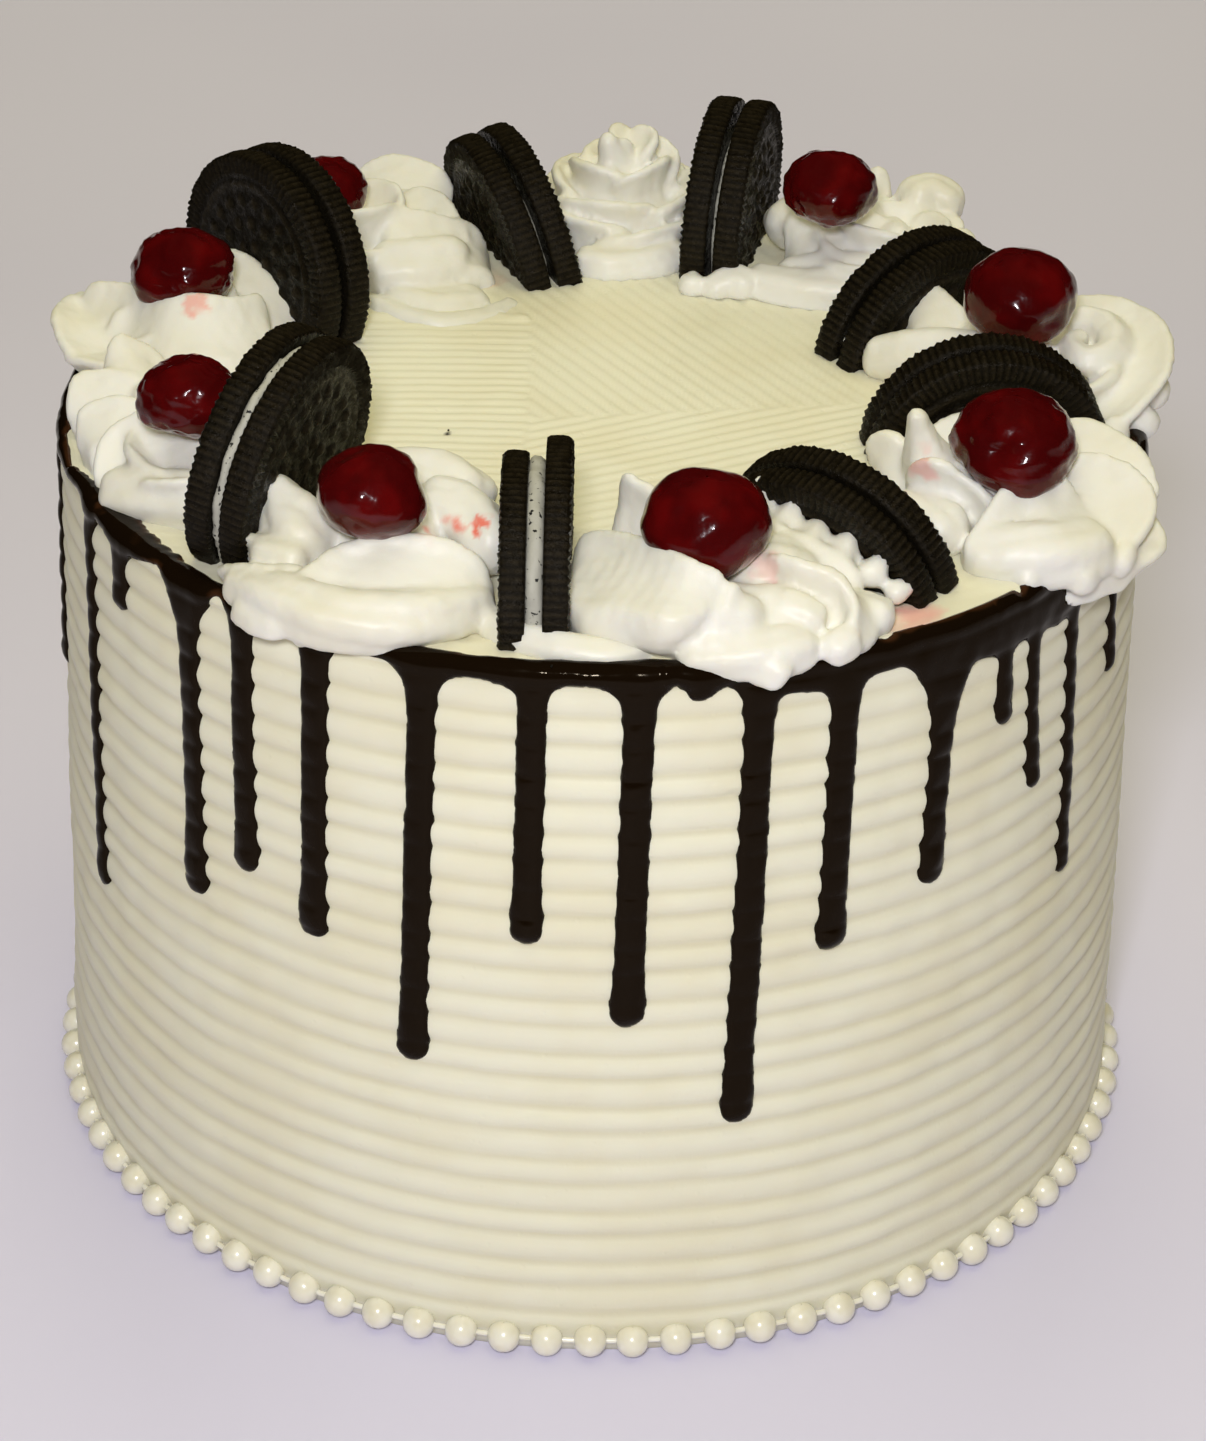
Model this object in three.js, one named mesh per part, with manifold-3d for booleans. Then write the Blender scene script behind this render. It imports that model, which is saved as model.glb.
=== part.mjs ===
// A tall round drip cake. Cream icing is combed into level grooves round its side, dark chocolate
// runs over its rim in drips, and the top carries nine piped cream rosettes, eight sandwich
// biscuits pushed in on edge between them, and eight glossy cherries. A string of small pearls
// lies round its foot.
//
// Millimetres, +Z up. The origin is the centre of the flat underside, and the front faces -Y.
// A place on the cake is given by its angle round the cake from the front (degrees, towards +X),
// its distance from the axis, and its height.

import * as THREE from "three";
import { mergeVertices } from "three/addons/utils/BufferGeometryUtils.js";
import Module from "manifold-3d";

const wasm = await Module();
wasm.setup();

// ---------------------------------------------------------------- driving dimensions

const FOOT_RADIUS = 101.6; // over the comb's crests at the foot: an 8 inch cake
const TOP_RADIUS = 98; // the side leans in a little towards the top
const CAKE_HEIGHT = 137;
const CAKE_FACETS = 32;

const COMB_PITCH = 5.435; // from groove to groove
const COMB_STAGGER = 0.25; // every second groove lies this much higher, the others lower
const COMB_DEPTH = 1.1;
const COMB_GROOVES = 24;
const COMB_START = 8.6; // the lowest groove's height
const UNDERCUT = 3.6; // the foot draws in by this much, where the pearls lie
const UNDERCUT_HEIGHT = 5;

const GAP = 0.3; // between pieces that touch

const CHOC_TOP_THICKNESS = 1.3;
const CHOC_SIDE_THICKNESS = 1;
const CHOC_TOP = CAKE_HEIGHT + GAP + CHOC_TOP_THICKNESS;
const CHOC_INNER_RADIUS = 94.3; // how far the chocolate reaches in over the top
const CHOC_SKIRT = 4.6; // how far it hangs below the top between drips
const DRIP_WIDTH = 5.9;
const DRIP_THICKNESS = 1.2;
const DRIP_FLARE = 12.5; // a drip's width where it leaves the rim
const DRIP_NECK = 10.5; // below the top, where the flare has narrowed to the drip's width

// Each drip round the cake from the front: its angle, how far its tip hangs below the top, and
// how many degrees further round it starts. Long and short runs go on alike round the back.
const DRIPS = [
  [-74, 44, 0],
  [-64, 75.6, -1.8],
  [-57.1, 14, 0],
  [-44.3, 60.2, -0.9],
  [-37.2, 50.6, -0.5],
  [-29.3, 58.5, 0.2],
  [-18.4, 78, 0.9],
  [-6.9, 51.5, 0.4],
  [2.9, 67.6, 0.7],
  [13.9, 88.5, 1.4],
  [23.2, 56.7, 1],
  [34.8, 49.3, 0.5],
  [44, 23.7, 0.5],
  [49.5, 39.8, 0],
  [56.5, 63, 1.8],
  [65.5, 32, 0],
];
const BACK_DRIPS = { first: 76, last: 276, count: 18, shortest: 18, longest: 82 };

const PEARL_COUNT = 83;
const PEARL_RADIUS = 3;
const PEARL_RING_RADIUS = 101.7;
const PEARL_LIFT = 3.2; // the height of the pearls' centres
const THREAD_RADIUS = 0.8;

const ROSETTE_STEP = 40; // nine rosettes round the rim
const ROSETTE_FIRST = -23;
const ROSETTE_LOBES = 7; // ridges left by the star-shaped nozzle
const ROSETTE_FACETS = 21;
const ROSETTE_RIDGE = 0.09; // how deep the ridges are, as a share of the radius
const ROSETTE_TWIST = 0.55; // how far the ridges turn from foot to tip, radians
const ROSETTE_SLOPE = 0.35; // how much higher the side towards the axis is than the outer side

// Each rosette in turn: degrees from its even place, distance from the axis, half its length in
// and out, half its width round the cake, and its height. All but one are pressed by a cherry.
const ROSETTES = [
  { slip: -3, out: 76, half: 27.5, wide: 27, tall: 14, pressed: true },
  { slip: 0, out: 77, half: 28, wide: 27, tall: 14, pressed: true },
  { slip: 0, out: 78, half: 27.5, wide: 26, tall: 14, pressed: true },
  { slip: 0, out: 79, half: 25, wide: 25, tall: 15, pressed: true },
  { slip: 0, out: 83, half: 21.5, wide: 25, tall: 15, pressed: true },
  { slip: 0, out: 82, half: 21, wide: 24, tall: 20, pressed: false },
  { slip: 0, out: 83, half: 21.5, wide: 25, tall: 16, pressed: true },
  { slip: 0, out: 79, half: 27.5, wide: 25.5, tall: 15, pressed: true },
  { slip: 0, out: 78, half: 26, wide: 25.5, tall: 14, pressed: true },
];

const BISCUIT_RADIUS = 22.25;
const BISCUIT_FACETS = 20;
const WAFER_THICKNESS = 4.4;
const FILLING_THICKNESS = 2.2;
const FILLING_RADIUS = 20.6;
const FILLING_FACETS = 10;

// Each biscuit stands on edge in a gap between two rosettes, pushed part way into the cake:
// which gap, how many degrees it slips from the gap's middle, its centre's distance from the
// axis and height above the top, how far it turns from pointing at the axis, its lean, and how
// far its two wafers have slid past each other.
const BISCUITS = [
  { gap: 0, slip: -6.1, out: 70.6, rise: 2, turn: 8.6, lean: 0, slide: 2.8 },
  { gap: 1, slip: -2.6, out: 69.2, rise: -2.5, turn: 20, lean: 15.3, slide: 0 },
  { gap: 2, slip: 2.5, out: 69.4, rise: -2, turn: 16.5, lean: 5.2, slide: 0 },
  { gap: 3, slip: 2.9, out: 69, rise: -2, turn: 8.5, lean: 7, slide: 0 },
  { gap: 4, slip: 3.4, out: 71.4, rise: 9, turn: 10.4, lean: 1.6, slide: 0 },
  { gap: 5, slip: -4.3, out: 72, rise: 3, turn: 3.3, lean: -13, slide: 0 },
  { gap: 6, slip: 0.7, out: 73.3, rise: 10, turn: -17.2, lean: 1.3, slide: 0 },
  { gap: 8, slip: -4.5, out: 74.5, rise: 14, turn: 22.3, lean: -10, slide: 0 },
];

// Each cherry sits in a rosette: which one, degrees from the rosette's middle, distance from
// the axis, height above the top, and diameter.
const CHERRIES = [
  { rosette: 0, slip: -2.4, out: 80.5, rise: 18, across: 18 },
  { rosette: 1, slip: -4.6, out: 78, rise: 16.5, across: 21.4 },
  { rosette: 2, slip: 0.5, out: 82.5, rise: 15.5, across: 21 },
  { rosette: 3, slip: -0.5, out: 76, rise: 19, across: 20.2 },
  { rosette: 4, slip: 5, out: 70, rise: 20.5, across: 17.5 },
  { rosette: 6, slip: 1, out: 80, rise: 15, across: 16.5 },
  { rosette: 7, slip: 0, out: 79.5, rise: 19, across: 19 },
  { rosette: 8, slip: 0, out: 80.5, rise: 18, across: 17.5 },
];
const CHERRY_DENT = 0.05; // how uneven a cherry is, as a share of its radius
const CHERRY_SQUASH = 0.8; // its height as a share of its width

// ---------------------------------------------------------------- materials

const material = (color, roughness) => new THREE.MeshStandardMaterial({ color, roughness, metalness: 0 });
const ICING = "#e6dfc0";
const CREAM = "#efecdf";
const CHOCOLATE = "#22140b";
const WAFER = "#241d13";
const FILLING = "#e9e7e0";
const CHERRY = "#5c0608";
const PEARL = "#e6e0c6";

// ---------------------------------------------------------------- helpers

const radians = THREE.MathUtils.degToRad;

// A point on the cake from its angle, distance from the axis and height.
function place(angle, out, z) {
  const a = radians(angle);
  return new THREE.Vector3(out * Math.sin(a), -out * Math.cos(a), z);
}

// The same seed always gives the same numbers between 0 and 1.
function seededRandom(seed) {
  let state = seed;
  return () => {
    state = (state * 16807) % 2147483647;
    return state / 2147483647;
  };
}

// The radius over the comb's crests at a height.
function crestRadius(z) {
  return THREE.MathUtils.lerp(FOOT_RADIUS, TOP_RADIUS, z / CAKE_HEIGHT);
}

function signedVolume(position, index) {
  const [a, b, c] = [new THREE.Vector3(), new THREE.Vector3(), new THREE.Vector3()];
  let sum = 0;
  for (let t = 0; t < index.length; t += 3) {
    a.fromBufferAttribute(position, index[t]);
    b.fromBufferAttribute(position, index[t + 1]);
    c.fromBufferAttribute(position, index[t + 2]);
    sum += a.dot(b.cross(c));
  }
  return sum / 6;
}

// One closed surface with shared vertices, no empty triangles, and its faces pointing out.
function closed(geometry) {
  geometry.deleteAttribute("normal");
  geometry.deleteAttribute("uv");
  const merged = mergeVertices(geometry, 1e-3);
  const kept = [];
  const all = merged.index.array;
  for (let t = 0; t < all.length; t += 3) {
    const [a, b, c] = [all[t], all[t + 1], all[t + 2]];
    if (a !== b && b !== c && a !== c) {
      kept.push(a, b, c);
    }
  }
  if (signedVolume(merged.attributes.position, kept) < 0) {
    kept.reverse();
  }
  merged.setIndex(kept);
  return merged;
}

function toSolid(geometry) {
  const shape = closed(geometry);
  const vertProperties = new Float32Array(shape.attributes.position.array);
  const triVerts = new Uint32Array(shape.index.array);
  return new wasm.Manifold(new wasm.Mesh({ numProp: 3, vertProperties, triVerts }));
}

// The largest body of a solid: scraps that a cut leaves loose are dropped.
function largest(solid) {
  const bodies = solid.decompose();
  return bodies.reduce((best, body) => (body.volume() > best.volume() ? body : best));
}

function toGeometry(solid) {
  const cut = largest(solid).getMesh();
  const geometry = new THREE.BufferGeometry();
  geometry.setAttribute("position", new THREE.BufferAttribute(cut.vertProperties, 3));
  geometry.setIndex(new THREE.BufferAttribute(cut.triVerts, 1));
  return geometry;
}

// A solid of revolution about Z from [radius, height] pairs.
function turned(profile, facets) {
  const points = profile.map(([r, z]) => new THREE.Vector2(r, z));
  return new THREE.LatheGeometry(points, facets).rotateX(Math.PI / 2);
}

// A closed skin over rows of points, each row a loop, with the first and last rows capped.
function skinned(rows) {
  const width = rows[0].length;
  const index = [];
  for (let r = 0; r + 1 < rows.length; r += 1) {
    for (let i = 0; i < width; i += 1) {
      const next = (i + 1) % width;
      const [a, b] = [r * width + i, r * width + next];
      index.push(a, b, b + width, a, b + width, a + width);
    }
  }
  const last = (rows.length - 1) * width;
  for (let i = 1; i + 1 < width; i += 1) {
    index.push(0, i + 1, i, last, last + i, last + i + 1);
  }
  const geometry = new THREE.BufferGeometry().setFromPoints(rows.flat());
  geometry.setIndex(index);
  return geometry;
}

const cakeTurn = Math.PI / CAKE_FACETS;

// ---------------------------------------------------------------- the cake

// The side's profile from the foot to the top: an undercut foot, the combed side and a
// rounded top edge.
function sideProfile() {
  const profile = [
    [0, 0],
    [FOOT_RADIUS - UNDERCUT, 0],
    [FOOT_RADIUS - UNDERCUT + 0.2, UNDERCUT_HEIGHT],
    [FOOT_RADIUS - 0.9, COMB_START - 1.5],
  ];
  for (let k = 0; k < COMB_GROOVES; k += 1) {
    const stagger = k % 2 === 0 ? -COMB_STAGGER : COMB_STAGGER;
    const groove = COMB_START + k * COMB_PITCH + stagger;
    const crest = COMB_START + (k + 0.5) * COMB_PITCH;
    profile.push([crestRadius(groove) - COMB_DEPTH, groove]);
    if (crest < CAKE_HEIGHT - 2) {
      profile.push([crestRadius(crest), crest]);
    }
  }
  profile.push([TOP_RADIUS - 0.6, CAKE_HEIGHT - 1.2]);
  profile.push([TOP_RADIUS - 2, CAKE_HEIGHT]);
  profile.push([0, CAKE_HEIGHT]);
  return profile;
}

function cakeSolid() {
  return toSolid(turned(sideProfile(), CAKE_FACETS).rotateZ(cakeTurn));
}

// ---------------------------------------------------------------- the chocolate

// The band over the rim, from its inner edge on the top round to the foot of its skirt and
// back over its outer face.
function band() {
  const top = CAKE_HEIGHT + GAP;
  const side = TOP_RADIUS + GAP;
  const skirt = CAKE_HEIGHT - CHOC_SKIRT;
  const profile = [
    [CHOC_INNER_RADIUS, top],
    [TOP_RADIUS - 1.6, top],
    [side, CAKE_HEIGHT - 1],
    [side + 0.1, skirt],
    [side + CHOC_SIDE_THICKNESS, skirt],
    [side + CHOC_SIDE_THICKNESS, CAKE_HEIGHT - 0.5],
    [TOP_RADIUS - 0.5, CHOC_TOP],
    [CHOC_INNER_RADIUS, CHOC_TOP - 0.3],
    [CHOC_INNER_RADIUS, top],
  ];
  return toSolid(turned(profile, CAKE_FACETS).rotateZ(cakeTurn));
}

// The space that the band needs under the rosettes.
function bandRoom() {
  const inner = CHOC_INNER_RADIUS - GAP;
  const outer = FOOT_RADIUS + 20;
  const profile = [
    [inner, CAKE_HEIGHT - CHOC_SKIRT],
    [outer, CAKE_HEIGHT - CHOC_SKIRT],
    [outer, CHOC_TOP + GAP],
    [inner, CHOC_TOP + GAP],
    [inner, CAKE_HEIGHT - CHOC_SKIRT],
  ];
  return toSolid(turned(profile, CAKE_FACETS).rotateZ(cakeTurn));
}

// One drip as rows of four points, from inside the band down to its rounded tip.
function drip(tipAngle, hang, slant) {
  const tip = CAKE_HEIGHT - hang;
  const stations = [
    { z: CAKE_HEIGHT - 1.5, width: DRIP_FLARE, thick: 1.2 },
    { z: CAKE_HEIGHT - DRIP_NECK, width: DRIP_WIDTH, thick: DRIP_THICKNESS },
    { z: tip + DRIP_WIDTH / 2, width: DRIP_WIDTH, thick: DRIP_THICKNESS },
    { z: tip, width: DRIP_WIDTH * 0.4, thick: DRIP_THICKNESS * 0.5 },
  ];
  const rows = stations.map(({ z, width, thick }) => {
    const inner = crestRadius(z) + GAP;
    const half = THREE.MathUtils.radToDeg(width / 2 / inner);
    const angle = tipAngle + (slant * (z - tip)) / hang;
    return [
      place(angle - half, inner, z),
      place(angle + half, inner, z),
      place(angle + half * 0.6, inner + thick, z),
      place(angle - half * 0.6, inner + thick, z),
    ];
  });
  return toSolid(skinned(rows));
}

// Drips for the hidden back, evenly spaced with seeded lengths like the front's.
function backDrips() {
  const random = seededRandom(11);
  const drips = [];
  const step = (BACK_DRIPS.last - BACK_DRIPS.first) / (BACK_DRIPS.count - 1);
  for (let i = 0; i < BACK_DRIPS.count; i += 1) {
    const angle = BACK_DRIPS.first + i * step + (random() - 0.5) * 2.5;
    const hang = THREE.MathUtils.lerp(BACK_DRIPS.shortest, BACK_DRIPS.longest, random());
    drips.push([angle, hang, 0]);
  }
  return drips;
}

function chocolateSolid() {
  const all = [...DRIPS, ...backDrips()];
  return all.reduce((sum, [angle, hang, slant]) => sum.add(drip(angle, hang, slant)), band());
}

// ---------------------------------------------------------------- rosettes

const evenAngle = (i) => ROSETTE_FIRST + i * ROSETTE_STEP;
const gapAngle = (i) => evenAngle(i) + ROSETTE_STEP / 2;
const rosetteAngle = (i) => evenAngle(i) + ROSETTES[i].slip;

// Rings of a rosette from its foot to its top, as shares of its width and height.
const PRESSED_RINGS = [
  { wide: 0.88, high: 0 },
  { wide: 1, high: 0.34 },
  { wide: 0.86, high: 0.72 },
  { wide: 0.58, high: 0.92 },
  { wide: 0.3, high: 1 },
];
const PEAKED_RINGS = [
  { wide: 0.88, high: 0 },
  { wide: 1, high: 0.24 },
  { wide: 0.8, high: 0.54 },
  { wide: 0.48, high: 0.76 },
  { wide: 0.18, high: 1 },
];

function rosette(i) {
  const { out, half, wide, tall, pressed } = ROSETTES[i];
  const rings = pressed ? PRESSED_RINGS : PEAKED_RINGS;
  const rows = rings.map((ring) => {
    const row = [];
    for (let k = 0; k < ROSETTE_FACETS; k += 1) {
      const a = (k / ROSETTE_FACETS) * 2 * Math.PI;
      const ridge = 1 + ROSETTE_RIDGE * Math.cos(ROSETTE_LOBES * (a - ROSETTE_TWIST * ring.high));
      const x = half * ring.wide * ridge * Math.cos(a);
      const y = wide * ring.wide * ridge * Math.sin(a);
      const slope = 1 - (ROSETTE_SLOPE * x) / half;
      row.push(new THREE.Vector3(x, y, tall * ring.high * slope));
    }
    return row;
  });
  const geometry = skinned(rows);
  geometry.rotateZ(radians(rosetteAngle(i) - 90));
  const foot = place(rosetteAngle(i), out, CAKE_HEIGHT + GAP);
  return toSolid(geometry.translate(foot.x, foot.y, foot.z));
}

// The wedge of space that belongs to one rosette, so that neighbours stay apart.
function wedge(i) {
  const reach = FOOT_RADIUS * 1.5;
  const halfAngle = ROSETTE_STEP / 2 - 0.2;
  const heights = [CAKE_HEIGHT - 10, CAKE_HEIGHT + 60];
  const rows = heights.map((z) => [
    place(evenAngle(i), 8, z),
    place(evenAngle(i) - halfAngle, reach, z),
    place(evenAngle(i) + halfAngle, reach, z),
  ]);
  return toSolid(skinned(rows));
}

// ---------------------------------------------------------------- biscuits

const biscuitThickness = 2 * WAFER_THICKNESS + FILLING_THICKNESS + 2 * GAP;

// A biscuit's own frame: Z along its axis, Y up in its plane.
function biscuitFrame({ gap, slip, out, rise, turn, lean }) {
  const angle = gapAngle(gap) + slip;
  const facing = radians(angle + turn);
  const tip = radians(lean);
  const axis = new THREE.Vector3(
    Math.cos(tip) * Math.cos(facing),
    Math.cos(tip) * Math.sin(facing),
    Math.sin(tip),
  );
  const across = new THREE.Vector3(0, 0, 1).cross(axis).normalize();
  const up = axis.clone().cross(across);
  const frame = new THREE.Matrix4().makeBasis(across, up, axis);
  return frame.setPosition(place(angle, out, CAKE_HEIGHT + rise));
}

function disc(radius, thickness, facets) {
  const half = thickness / 2;
  const profile = [
    [0, -half],
    [radius, -half],
    [radius, half],
    [0, half],
  ];
  return turned(profile, facets);
}

// The room that a biscuit needs: one disc round its wafers and filling with the gap all round.
function biscuitRoom(biscuit) {
  const radius = BISCUIT_RADIUS + biscuit.slide / 2 + GAP;
  const room = disc(radius, biscuitThickness + 2 * GAP, BISCUIT_FACETS);
  return toSolid(room.applyMatrix4(biscuitFrame(biscuit)));
}

function biscuitGroup(biscuit, number) {
  const pieces = new THREE.Group();
  const offset = (FILLING_THICKNESS + WAFER_THICKNESS) / 2 + GAP;
  for (const [name, side] of [["left", -1], ["right", 1]]) {
    const wafer = new THREE.Mesh(
      closed(disc(BISCUIT_RADIUS, WAFER_THICKNESS, BISCUIT_FACETS)),
      material(WAFER, 0.7),
    );
    wafer.name = `biscuit_${number}_wafer_${name}`;
    wafer.position.set(0, (side * biscuit.slide) / 2, side * offset);
    pieces.add(wafer);
  }
  const filling = new THREE.Mesh(
    closed(disc(FILLING_RADIUS, FILLING_THICKNESS, FILLING_FACETS)),
    material(FILLING, 0.6),
  );
  filling.name = `biscuit_${number}_filling`;
  pieces.add(filling);
  pieces.applyMatrix4(biscuitFrame(biscuit));
  return pieces;
}

// ---------------------------------------------------------------- cherries

// A cherry is a ball with seeded dents. grow adds the gap all round.
function cherryGeometry({ rosette: host, slip, out, rise, across }, grow) {
  const random = seededRandom(101 + host * 7);
  const ball = closed(new THREE.IcosahedronGeometry(across / 2, 1));
  const position = ball.attributes.position;
  const point = new THREE.Vector3();
  for (let k = 0; k < position.count; k += 1) {
    point.fromBufferAttribute(position, k);
    const dent = 1 - CHERRY_DENT * random();
    point.setLength((across / 2) * dent + grow);
    position.setXYZ(k, point.x, point.y, point.z * CHERRY_SQUASH + Math.sign(point.z) * grow);
  }
  const centre = place(rosetteAngle(host) + slip, out, CAKE_HEIGHT + rise);
  return ball.translate(centre.x, centre.y, centre.z);
}

// ---------------------------------------------------------------- pearls

// Pearls on a thread, as one ring: the thread's radius swells into each pearl.
function pearlString() {
  const sides = 4;
  const stations = [
    { along: -0.5, radius: THREAD_RADIUS },
    { along: -0.22, radius: PEARL_RADIUS * 0.98 },
    { along: 0.22, radius: PEARL_RADIUS * 0.98 },
  ];
  const points = [];
  for (let p = 0; p < PEARL_COUNT; p += 1) {
    for (const { along, radius } of stations) {
      const angle = ((p + along) * 360) / PEARL_COUNT;
      for (let s = 0; s < sides; s += 1) {
        const a = Math.PI / 2 + (s * 2 * Math.PI) / sides;
        const out = PEARL_RING_RADIUS + radius * Math.cos(a);
        points.push(place(angle, out, PEARL_LIFT + radius * Math.sin(a)));
      }
    }
  }
  const rings = PEARL_COUNT * stations.length;
  const index = [];
  for (let r = 0; r < rings; r += 1) {
    for (let s = 0; s < sides; s += 1) {
      const a = r * sides + s;
      const b = r * sides + ((s + 1) % sides);
      const c = ((r + 1) % rings) * sides + ((s + 1) % sides);
      const d = ((r + 1) % rings) * sides + s;
      index.push(a, b, c, a, c, d);
    }
  }
  const geometry = new THREE.BufferGeometry().setFromPoints(points);
  geometry.setIndex(index);
  return closed(geometry);
}

// ---------------------------------------------------------------- the whole

const group = new THREE.Group();

function addPiece(name, geometry, color, roughness) {
  const mesh = new THREE.Mesh(geometry, material(color, roughness));
  mesh.name = name;
  group.add(mesh);
}

const biscuitRooms = BISCUITS.map(biscuitRoom);
const allBiscuitRoom = biscuitRooms.reduce((sum, room) => sum.add(room));

addPiece("cake", toGeometry(cakeSolid().subtract(allBiscuitRoom)), ICING, 0.6);
addPiece("chocolate", toGeometry(chocolateSolid().subtract(allBiscuitRoom)), CHOCOLATE, 0.2);

const cherryRoom = CHERRIES.map((cherry) => toSolid(cherryGeometry(cherry, GAP)))
  .reduce((sum, room) => sum.add(room));
const spaceForBand = bandRoom();
for (let i = 0; i < ROSETTES.length; i += 1) {
  const shape = rosette(i)
    .intersect(wedge(i))
    .subtract(allBiscuitRoom)
    .subtract(cherryRoom)
    .subtract(spaceForBand);
  addPiece(`rosette_${i + 1}`, toGeometry(shape), CREAM, 0.55);
}

BISCUITS.forEach((biscuit, i) => group.add(biscuitGroup(biscuit, i + 1)));
CHERRIES.forEach((cherry, i) => {
  addPiece(`cherry_${i + 1}`, cherryGeometry(cherry, 0), CHERRY, 0.15);
});
addPiece("pearls", pearlString(), PEARL, 0.3);

export default group;
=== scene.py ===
# %% [markdown]
# # A drip cake, one piece at a time
#
# The real cake is a tall round sponge under cream icing. Its side was combed level while it
# turned, dark chocolate was run over the rim, cream was piped in nine rosettes, and biscuits and
# cherries were pushed in. The packed CAD model says where each piece is. This lesson makes each
# piece again as a fine mesh in the same place, and gives it the finish of the real one.
# All lengths below are in millimetres until a mesh is made, where they become metres.

# %% Load the fixed frame
import math

import bmesh
import bpy
import numpy as np
from mathutils import Matrix, Vector


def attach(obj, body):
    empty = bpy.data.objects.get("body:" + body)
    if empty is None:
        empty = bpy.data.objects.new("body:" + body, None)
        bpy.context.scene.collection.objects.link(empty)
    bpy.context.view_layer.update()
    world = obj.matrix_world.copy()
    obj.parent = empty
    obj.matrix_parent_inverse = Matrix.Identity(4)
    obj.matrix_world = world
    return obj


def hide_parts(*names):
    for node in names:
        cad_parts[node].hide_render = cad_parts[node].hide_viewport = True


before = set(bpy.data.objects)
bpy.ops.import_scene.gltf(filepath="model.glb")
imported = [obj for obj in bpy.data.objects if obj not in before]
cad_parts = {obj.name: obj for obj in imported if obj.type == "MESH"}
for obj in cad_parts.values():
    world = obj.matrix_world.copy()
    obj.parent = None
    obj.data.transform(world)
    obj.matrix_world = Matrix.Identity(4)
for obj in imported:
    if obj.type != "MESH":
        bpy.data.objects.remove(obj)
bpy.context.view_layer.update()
print("solids loaded:", len(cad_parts))

# %% [markdown]
# ## The camera
#
# The camera looks down on the cake by about 30 degrees from a little over half a metre in front,
# with a long lens. Its turn is built from three directions, right, up and forward, and a small
# roll. Setting a matrix by hand like this is exact, where a Track To constraint can't roll.

# %% Camera
CAMERA_AT = Vector((-0.0056, -0.639, 0.444))
LOOK_DOWN = math.radians(30.29)
LOOK_RIGHT = math.radians(0.61)
ROLL = math.radians(1.20)
FOCAL_PIXELS = 3883
FRAME_HEIGHT = 1441
SENSOR = 36
NEAREST_SEEN = 0.01

forward = Vector((
    math.sin(LOOK_RIGHT) * math.cos(LOOK_DOWN),
    math.cos(LOOK_RIGHT) * math.cos(LOOK_DOWN),
    -math.sin(LOOK_DOWN),
))
level = forward.cross(Vector((0, 0, 1))).normalized()
upright = level.cross(forward)
right = math.cos(ROLL) * level + math.sin(ROLL) * upright
up = math.cos(ROLL) * upright - math.sin(ROLL) * level

camera = bpy.data.objects.new("camera", bpy.data.cameras.new("camera"))
bpy.context.scene.collection.objects.link(camera)
looking = Matrix((right, up, -forward)).transposed().to_4x4()
camera.matrix_world = Matrix.Translation(CAMERA_AT) @ looking
camera.data.sensor_width = SENSOR
camera.data.lens = FOCAL_PIXELS / FRAME_HEIGHT * SENSOR
camera.data.clip_start = NEAREST_SEEN
bpy.context.scene.camera = camera
print("lens in mm:", round(camera.data.lens, 1))

# %% [markdown]
# ## Places and meshes
#
# A place on a round cake is easiest to give as an angle round it from the front, a distance out
# from its axis, and a height. Meshes are made from numpy arrays of points and faces, because a
# piped swirl or a combed side is a rule that moves many points at once.

# %% Places on the cake
MM = 0.001
Z_UP = np.array([0.0, 0.0, 1.0])


def place(angle, out, z):
    """A point from its angle round the cake in degrees, its distance out and its height."""
    a = np.radians(angle)
    return np.stack(np.broadcast_arrays(out * np.sin(a), -out * np.cos(a), z), -1).astype(float)


def blend_in(low, high, value):
    """0 below low, 1 above high, and a smooth rise between."""
    t = np.clip((value - low) / (high - low), 0, 1)
    return t * t * (3 - 2 * t)


print("front of the rim:", place(0, 98, 137))

# %% Meshes from points and faces


def grid_faces(rows, columns, wrap=True):
    """Four-sided faces over rows of points. With wrap, each row is a loop."""
    r = np.arange(rows - 1)[:, None]
    c = np.arange(columns if wrap else columns - 1)[None, :]
    a = r * columns + c
    b = r * columns + (c + 1) % columns
    return np.stack([a, b, b + columns, a + columns], -1).reshape(-1, 4)


def joined(parts):
    """Several (points, list of face arrays) as one."""
    points = np.concatenate([p for p, _ in parts])
    starts = np.cumsum([0] + [len(p) for p, _ in parts[:-1]])
    faces = [f + start for (_, lists), start in zip(parts, starts) for f in lists]
    return points, faces


def new_piece(name, points, faces):
    """A mesh object. Points are in millimetres; faces are a list of arrays."""
    mesh = bpy.data.meshes.new(name)
    corners = [face for some in faces for face in some.tolist()]
    mesh.from_pydata((np.asarray(points) * MM).tolist(), [], corners)
    mesh.update()
    mesh.shade_smooth()
    piece = bpy.data.objects.new(name, mesh)
    bpy.context.scene.collection.objects.link(piece)
    return piece


def read_points(rows, field):
    """Three numbers for each row of a mesh's own data, as an array."""
    flat = np.empty(len(rows) * 3, np.float32)
    rows.foreach_get(field, flat)
    return flat.reshape(-1, 3).astype(float)


def points_of(piece):
    """A piece's points in millimetres."""
    return read_points(piece.data.vertices, "co") / MM


def move_points(piece, points):
    """Puts a piece's points in new places, in millimetres."""
    piece.data.vertices.foreach_set("co", (points * MM).astype(np.float32).ravel())
    piece.data.update()


def brush(piece, name, values):
    """Keeps a number from 0 to 1 at each point, for a material to read as a painted mask."""
    layer = piece.data.attributes.new(name, "FLOAT", "POINT")
    layer.data.foreach_set("value", np.clip(values, 0, 1).astype(np.float32))


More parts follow.
